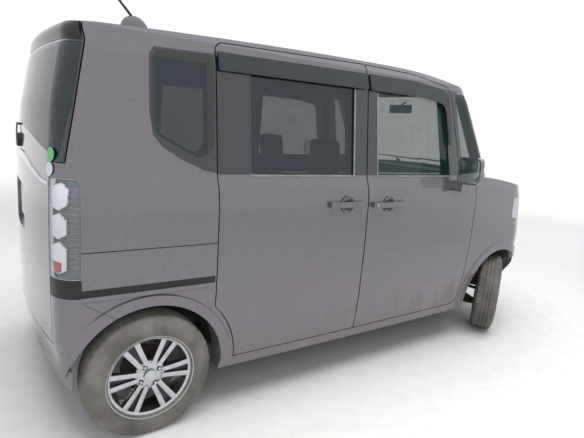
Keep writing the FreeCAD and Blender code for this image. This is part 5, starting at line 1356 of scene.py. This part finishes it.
    def fittings(self) -> None:
        """Domed cap, four hexagonal nuts in their pits, and the valve, each turned about its own line."""
        centre, axes = self.frame_axes()
        t = np.linspace(0, 1, 14)
        dome = np.stack([27.5 * np.sin(t * math.pi / 2), 60.5 + 5 * np.cos(t * math.pi / 2)], axis=-1)
        groove = [[28.5, 60.0], [28.5, 50.0], [0.01, 50.0]]
        cap = Shell().turned(np.concatenate([[[0.01, 65.5]], dome[1:], groove]), axes, centre, 40)
        nut = np.array([[0.01, 58.0], [5.2, 57.6], [8.0, 54.5], [8.4, 46.0], [0.01, 46.0]])
        pit = np.array([[0.01, 50.6], [11.5, 50.6], [12.5, 49.5], [12.5, 46.0], [0.01, 46.0]])
        nuts = Shell()
        for quarter in range(4):
            angle = math.radians(30) + quarter * math.pi / 2
            spot = centre + self.nut_circle * (math.cos(angle) * axes[0] + math.sin(angle) * axes[1])
            nuts.turned(nut, axes, spot, 6).turned(pit, axes, spot, 24, kind=1)
        run = np.linspace(0, 1, 8)[:, None]
        nuts.sweep(centre + (158 - 6 * run) * axes[1] + (40 + 22 * run) * axes[2], 3, 3, axes[0], kind=1)
        cap.piece("wheel_cap_" + self.name, [ALLOY], "wheel_" + self.name, "alloy")
        nuts.piece("wheel_nuts_" + self.name, [SILVER, RESIN], "wheel_" + self.name, "alloy", crease=20)

    def build(self) -> None:
        """Make the tyre, the rim and its fittings."""
        self.tyre()
        self.rim()
        self.fittings()


@dataclass
class ScreenFittings:
    """Wipers on the windscreen, each placed by the y of its pivot and blade ends, and the cabin mirror."""

    places: tuple[tuple[float, float, float], ...] = ((-330, -520, 20), (240, 10, 520))
    pivot_z: float = 1166.0
    blade_z: float = 1196.0
    mirror_low: tuple[float, float, float] = (806.0, -110.0, 1540.0)
    mirror_high: tuple[float, float, float] = (824.0, 110.0, 1602.0)

    def wipers(self) -> None:
        """Carry ovals along the glass for arms and blades, and turn a cap over each pivot."""
        t = np.linspace(0, 1, 24)
        cap = np.array([[0.01, 18], [11, 16], [14, 8], [14, -18], [0.01, -18]])
        shell = Shell()
        for pivot, first, last in self.places:
            blade = SKIN.screen(first + (last - first) * t, self.blade_z + 10 * t, 8)
            reach = pivot + ((first + last) / 2 - pivot) * t
            arm = SKIN.screen(reach, self.pivot_z + 34 * t, 6 + 10 * np.sin(t * math.pi))
            shell.sweep(blade, 4, 5, [1, 0, 0.5]).sweep(arm, np.linspace(9, 5, 24), 4, [1, 0, 0.5])
            shell.turned(cap, np.eye(3), arm[0], 24)
        shell.piece("front_wipers", [RESIN], "body", "black_plastic")

    def build(self) -> None:
        """Make the wipers, and hang the mirror by its stem."""
        self.wipers()
        stem = SKIN.screen(np.zeros(10), np.linspace(1625, 1600, 10), -8)
        stem[:, 0] = np.linspace(stem[0, 0], 822, 10)
        mirror = Shell().box(self.mirror_low, self.mirror_high, 8)
        mirror.sweep(stem + np.array([0, 0.01, 0]), 6, 6, [0, 1, 0])
        mirror.piece("cabin_mirror", [DASH], "body", "dash_plastic")


@dataclass
class Seat:
    """One padded part of a seat: a crowned closed form whose faces bulge between pulled-in edges.

    The form is a superellipsoid: each axis carries its sine or cosine to a power below one, which squares it
    off. Sewn channels pull the face in by a narrow bell curve, and side bolsters lift it.
    """

    name: str
    centre: tuple[float, float, float]
    size: tuple[float, float, float]
    lean: float = 0.0
    channels: tuple[float, ...] = ()
    bolster: float = 0.0
    nodes: tuple[str, ...] = ()
    fill: float = 0.75
    plan_power: float = 0.32
    height_power: float = 0.5

    def form(self) -> Array:
        """Points of the superellipsoid in unit size: signed powers of sines and cosines."""
        u = np.linspace(-math.pi / 2, math.pi / 2, 60)[:, None]
        v = once_round(96)[None, :]

        def signed(wave: Array, power: float) -> Array:
            """A power that keeps the sign."""
            return np.sign(wave) * abs(wave) ** power

        reach, height = signed(np.cos(u), self.plan_power), signed(np.sin(u), self.height_power)
        sides = (reach * signed(wave, self.plan_power) for wave in (np.cos(v), np.sin(v)))
        return np.stack([*sides, height + 0 * v], axis=-1)

    def build(self) -> None:
        unit = self.form()
        half = np.array(self.size) / 2
        points = unit * half
        x, y, z = (unit[..., axis] for axis in range(3))
        face = smooth(z, 0.2, 0.9)
        lift = half[2] * (0.12 * (1 - x ** 2) * (1 - y ** 2) - 0.1) + self.bolster * smooth(abs(y), 0.55, 0.8)
        for at in self.channels:
            lift -= 5 * np.exp(-((x - at) * half[0] / 5) ** 2)
        if self.bolster:
            lift -= 4 * np.exp(-((abs(y) - 0.55) * half[1] / 4) ** 2)
        points[..., 2] = np.minimum(points[..., 2] + face * lift, half[2])
        points = points @ turned_about([0, 1, 0], self.lean).T + np.array(self.centre)
        piece = Shell().grid(points, wrap_v=True).piece(
            self.name, [CLOTH], "body", "seat_fabric", self.nodes, 60)


@dataclass
class Cabin:
    """Seats, steering wheel and the fittings of the dashboard."""

    seat_y: float = 310.0
    bench_y: float = 238.7
    grip_radius: float = 180.0
    grip_half: float = 13.0
    hood_y: float = -330.0
    hood_foot: float = 1040.0

    def seats(self) -> None:
        """Lay out the padded parts from one table of places, and the headrests' posts."""
        for way, side in ((-1, "right"), (1, "left")):
            y, bench = way * self.seat_y, way * self.bench_y
            front, rear = (("front_seats",), ("rear_seat",)) if side == "right" else ((), ())
            channels = (-0.3, 0.15, 0.55)
            for part in (
                    Seat("front_cushion_" + side, (165, y, 556), (500, 540, 136), 3, channels, 16, front),
                    Seat("front_back_" + side, (-88, y, 880), (560, 530, 110), 80, (-0.5, -0.1, 0.3), 18),
                    Seat("front_headrest_" + side, (-117, y, 1245), (150, 235, 78), 84),
                    Seat("rear_cushion_" + side, (-775, bench, 556), (440, 476, 130), 3, (-0.2, 0.35), 6,
                         rear),
                    Seat("rear_back_" + side, (-1052, bench, 860), (450, 476, 92), 80, (-0.3, 0.2), 8),
                    Seat("rear_headrest_" + side, (-1082, bench, 1193), (150, 235, 74), 85)):
                part.build()
        posts = Shell()
        for x, y, low, high in ((-117, 310, 1120, 1190), (-1080, 239, 1050, 1140)):
            for at in (-y - 50, -y + 50, y - 50, y + 50):
                posts.sweep(np.linspace([x, at, low], [x, at, high], 6), 5.5, 5.5, [1, 0, 0])
        posts.piece("headrest_posts", [SILVER], "body", "seat_fabric")

    def wheel(self) -> None:
        """Rim, spokes and pad about the column: an oval carried round a circle, and tapered arms."""
        centre, out = on_axis("steering_wheel_turn")
        across = np.array([0.0, 1.0, 0.0])
        up = np.cross(across, out)
        up *= np.sign(up[2])
        turn = once_round(96)[:, None]
        way = once_round(16)[None, :]
        ring = np.cos(turn)[..., None] * across + np.sin(turn)[..., None] * up
        grip = self.grip_half + 1.2 * np.cos(turn * 4) + 0 * way
        points = centre + (self.grip_radius + grip * np.cos(way))[..., None] * ring
        shell = Shell().grid(points + (grip * np.sin(way))[..., None] * out, wrap_u=True, wrap_v=True)
        t = np.linspace(0, 1, 12)
        for angle in (0, 180, 270):
            spoke = math.cos(math.radians(angle)) * across + math.sin(math.radians(angle)) * up
            path = centre + spoke * (40 + 134 * t)[:, None] + out * (4 * (1 - t))[:, None]
            shell.sweep(path, 24 - 10 * np.sin(t * math.pi / 2), 7, out)
        pad = np.stack([62 * np.sin(t * math.pi / 2) + 0.01, 6 + 14 * np.cos(t * math.pi / 2)], axis=-1)
        back = np.array([[62, -12], [30, -26], [12, -30], [11, -58], [0.01, -58]])
        shell.turned(np.concatenate([pad, back]), np.stack([across, up, out]), centre, 40)
        shell.piece("steering_wheel_rim", [DASH], "steering_wheel", "dash_plastic", ("steering_wheel",), 45)

    def dashboard(self) -> None:
        """Instrument hood, a half sine across and up, with a blank screen and air outlets beside it."""
        u = np.linspace(0, math.pi, 24)[:, None]
        v = np.linspace(-1, 1, 20)[None, :]
        bulge = 1 - 0.25 * v ** 2
        top = np.stack([735 + 70 * v + 0 * u, self.hood_y + 150 * np.cos(u) * bulge,
                        self.hood_foot + 78 * np.sin(u) ** 0.8 * bulge], axis=-1)
        low = top.copy()
        low[..., 2] = self.hood_foot + (low[..., 2] - self.hood_foot) * 0.86 - 2
        low[..., 1] = self.hood_y + (low[..., 1] - self.hood_y) * 0.93
        hood = Shell().slab(top, low)
        hood.box((690, -130, 985), (712, 110, 1075), 5, kind=1, turn=turned_about([0, 1, 0], -12))
        for y in (-560, -490, 150, 480, 560):
            hood.box((686, y - 32, 1010), (716, y + 32, 1046), 8, kind=2)
        hood.piece("dashboard_fittings", [DASH, SCREEN, GLOSS_BLACK], "body", "dash_plastic")

    def build(self) -> None:
        """Make all cabin pieces."""
        self.seats()
        self.wheel()
        self.dashboard()


@dataclass(frozen=True)
class Softbox:
    """A round soft lamp; its size and places are metres and its power is watts."""

    name: str
    size: float
    power: float
    at: tuple[float, float, float]
    target: tuple[float, float, float]

    def build(self) -> None:
        """Hang the lamp and turn it to its target."""
        data = bpy.data.lights.new(self.name, "AREA")
        data.shape, data.size, data.energy = "DISK", self.size, self.power
        lamp = bpy.data.objects.new(self.name, data)
        lamp.location = self.at
        lamp.rotation_mode = "QUATERNION"
        lamp.rotation_quaternion = (Vector(self.target) - Vector(self.at)).to_track_quat("-Z", "Y")
        lamp.visible_glossy = False
        bpy.context.scene.collection.objects.link(lamp)


@dataclass
class Studio:
    """Pale floor, soft daylight lamps, and the camera at the photograph's place."""

    eye: tuple[float, float, float] = (-1849.5, -2521.8, 1374.7)
    yaw: float = 55.324
    pitch: float = -11.205
    roll: float = 4.215
    focal_pixels: float = 460.3
    frame_width: float = 584.0
    sensor: float = 36.0
    floor_reach: float = 40.0
    daylight: str = "#e4ecf7"
    daylight_strength: float = 0.62
    lamps: tuple[Softbox, ...] = (
        Softbox("sky", 6.0, 400, (-0.5, -1.0, 6.0), (0, 0, 0.6)),
        Softbox("side", 4.0, 70, (-3.5, -5.5, 3.0), (0, 0, 0.8)),
        Softbox("front", 4.0, 50, (6.0, 1.0, 3.0), (0, 0, 0.8)))

    def camera(self) -> None:
        """Set the camera by its yaw, pitch and roll; the lens follows from the focal length in pixels."""
        yaw, pitch, roll = (math.radians(value) for value in (self.yaw, self.pitch, self.roll))
        ahead = Vector((math.cos(yaw) * math.cos(pitch), math.sin(yaw) * math.cos(pitch), math.sin(pitch)))
        level = Vector((math.sin(yaw), -math.cos(yaw), 0))
        upright = level.cross(ahead)
        right = level * math.cos(roll) + upright * math.sin(roll)
        up = upright * math.cos(roll) - level * math.sin(roll)
        data = bpy.data.cameras.new("view")
        data.sensor_width = self.sensor
        data.lens = self.sensor * self.focal_pixels / self.frame_width
        data.clip_start = 0.05
        camera = bpy.data.objects.new("view", data)
        matrix = Matrix((right, up, -ahead)).transposed().to_4x4()
        matrix.translation = Vector(self.eye) * MM
        camera.matrix_world = matrix
        bpy.context.scene.collection.objects.link(camera)
        bpy.context.scene.camera = camera

    def floor(self) -> None:
        """Broad pale floor with a faint grit."""
        mesh = bpy.data.meshes.new("floor")
        reach = self.floor_reach
        mesh.from_pydata([(-reach, -reach, 0), (reach, -reach, 0), (reach, reach, 0), (-reach, reach, 0)],
                         [], [(0, 1, 2, 3)])
        floor = bpy.data.objects.new("floor", mesh)
        bpy.context.scene.collection.objects.link(floor)
        mesh.materials.append(FLOOR.material())

    def world(self) -> None:
        """Pale daylight from all round, which shows white behind the car."""
        world = bpy.data.worlds.new("studio")
        world.use_nodes = True
        tree = world.node_tree
        tree.nodes.clear()
        around = {"Color": linear(self.daylight), "Strength": self.daylight_strength}
        light, behind = (add_node(tree, "ShaderNodeBackground", inputs).outputs[0]
                         for inputs in (around, {"Color": WHITE, "Strength": 1.0}))
        mix = add_node(tree, "ShaderNodeMixShader", {0: backdrop_rays(tree), 1: light, 2: behind})
        add_node(tree, "ShaderNodeOutputWorld", {"Surface": mix.outputs[0]})
        bpy.context.scene.world = world

    def build(self) -> None:
        """Set the stage."""
        self.camera()
        self.floor()
        for lamp in self.lamps:
            lamp.build()
        self.world()
        bpy.context.scene.view_settings.view_transform = "Standard"


def main() -> None:
    """Build every sub-assembly in order."""
    logging.basicConfig(level=logging.INFO)
    wheels = [Wheel(end + "_" + name, side, turn) for name, side in (("right", -1), ("left", 1))
              for end, turn in (("front", 33.0), ("rear", 0.0))]
    for part in (Studio(), Bodywork(), TailLamps(), Headlamps(), TailTrim(), WindowTrim(), ScreenFittings(),
                 Cabin(), *wheels):
        LOG.info("building %s", type(part).__name__)
        part.build()


if __name__ == "__main__":
    main()
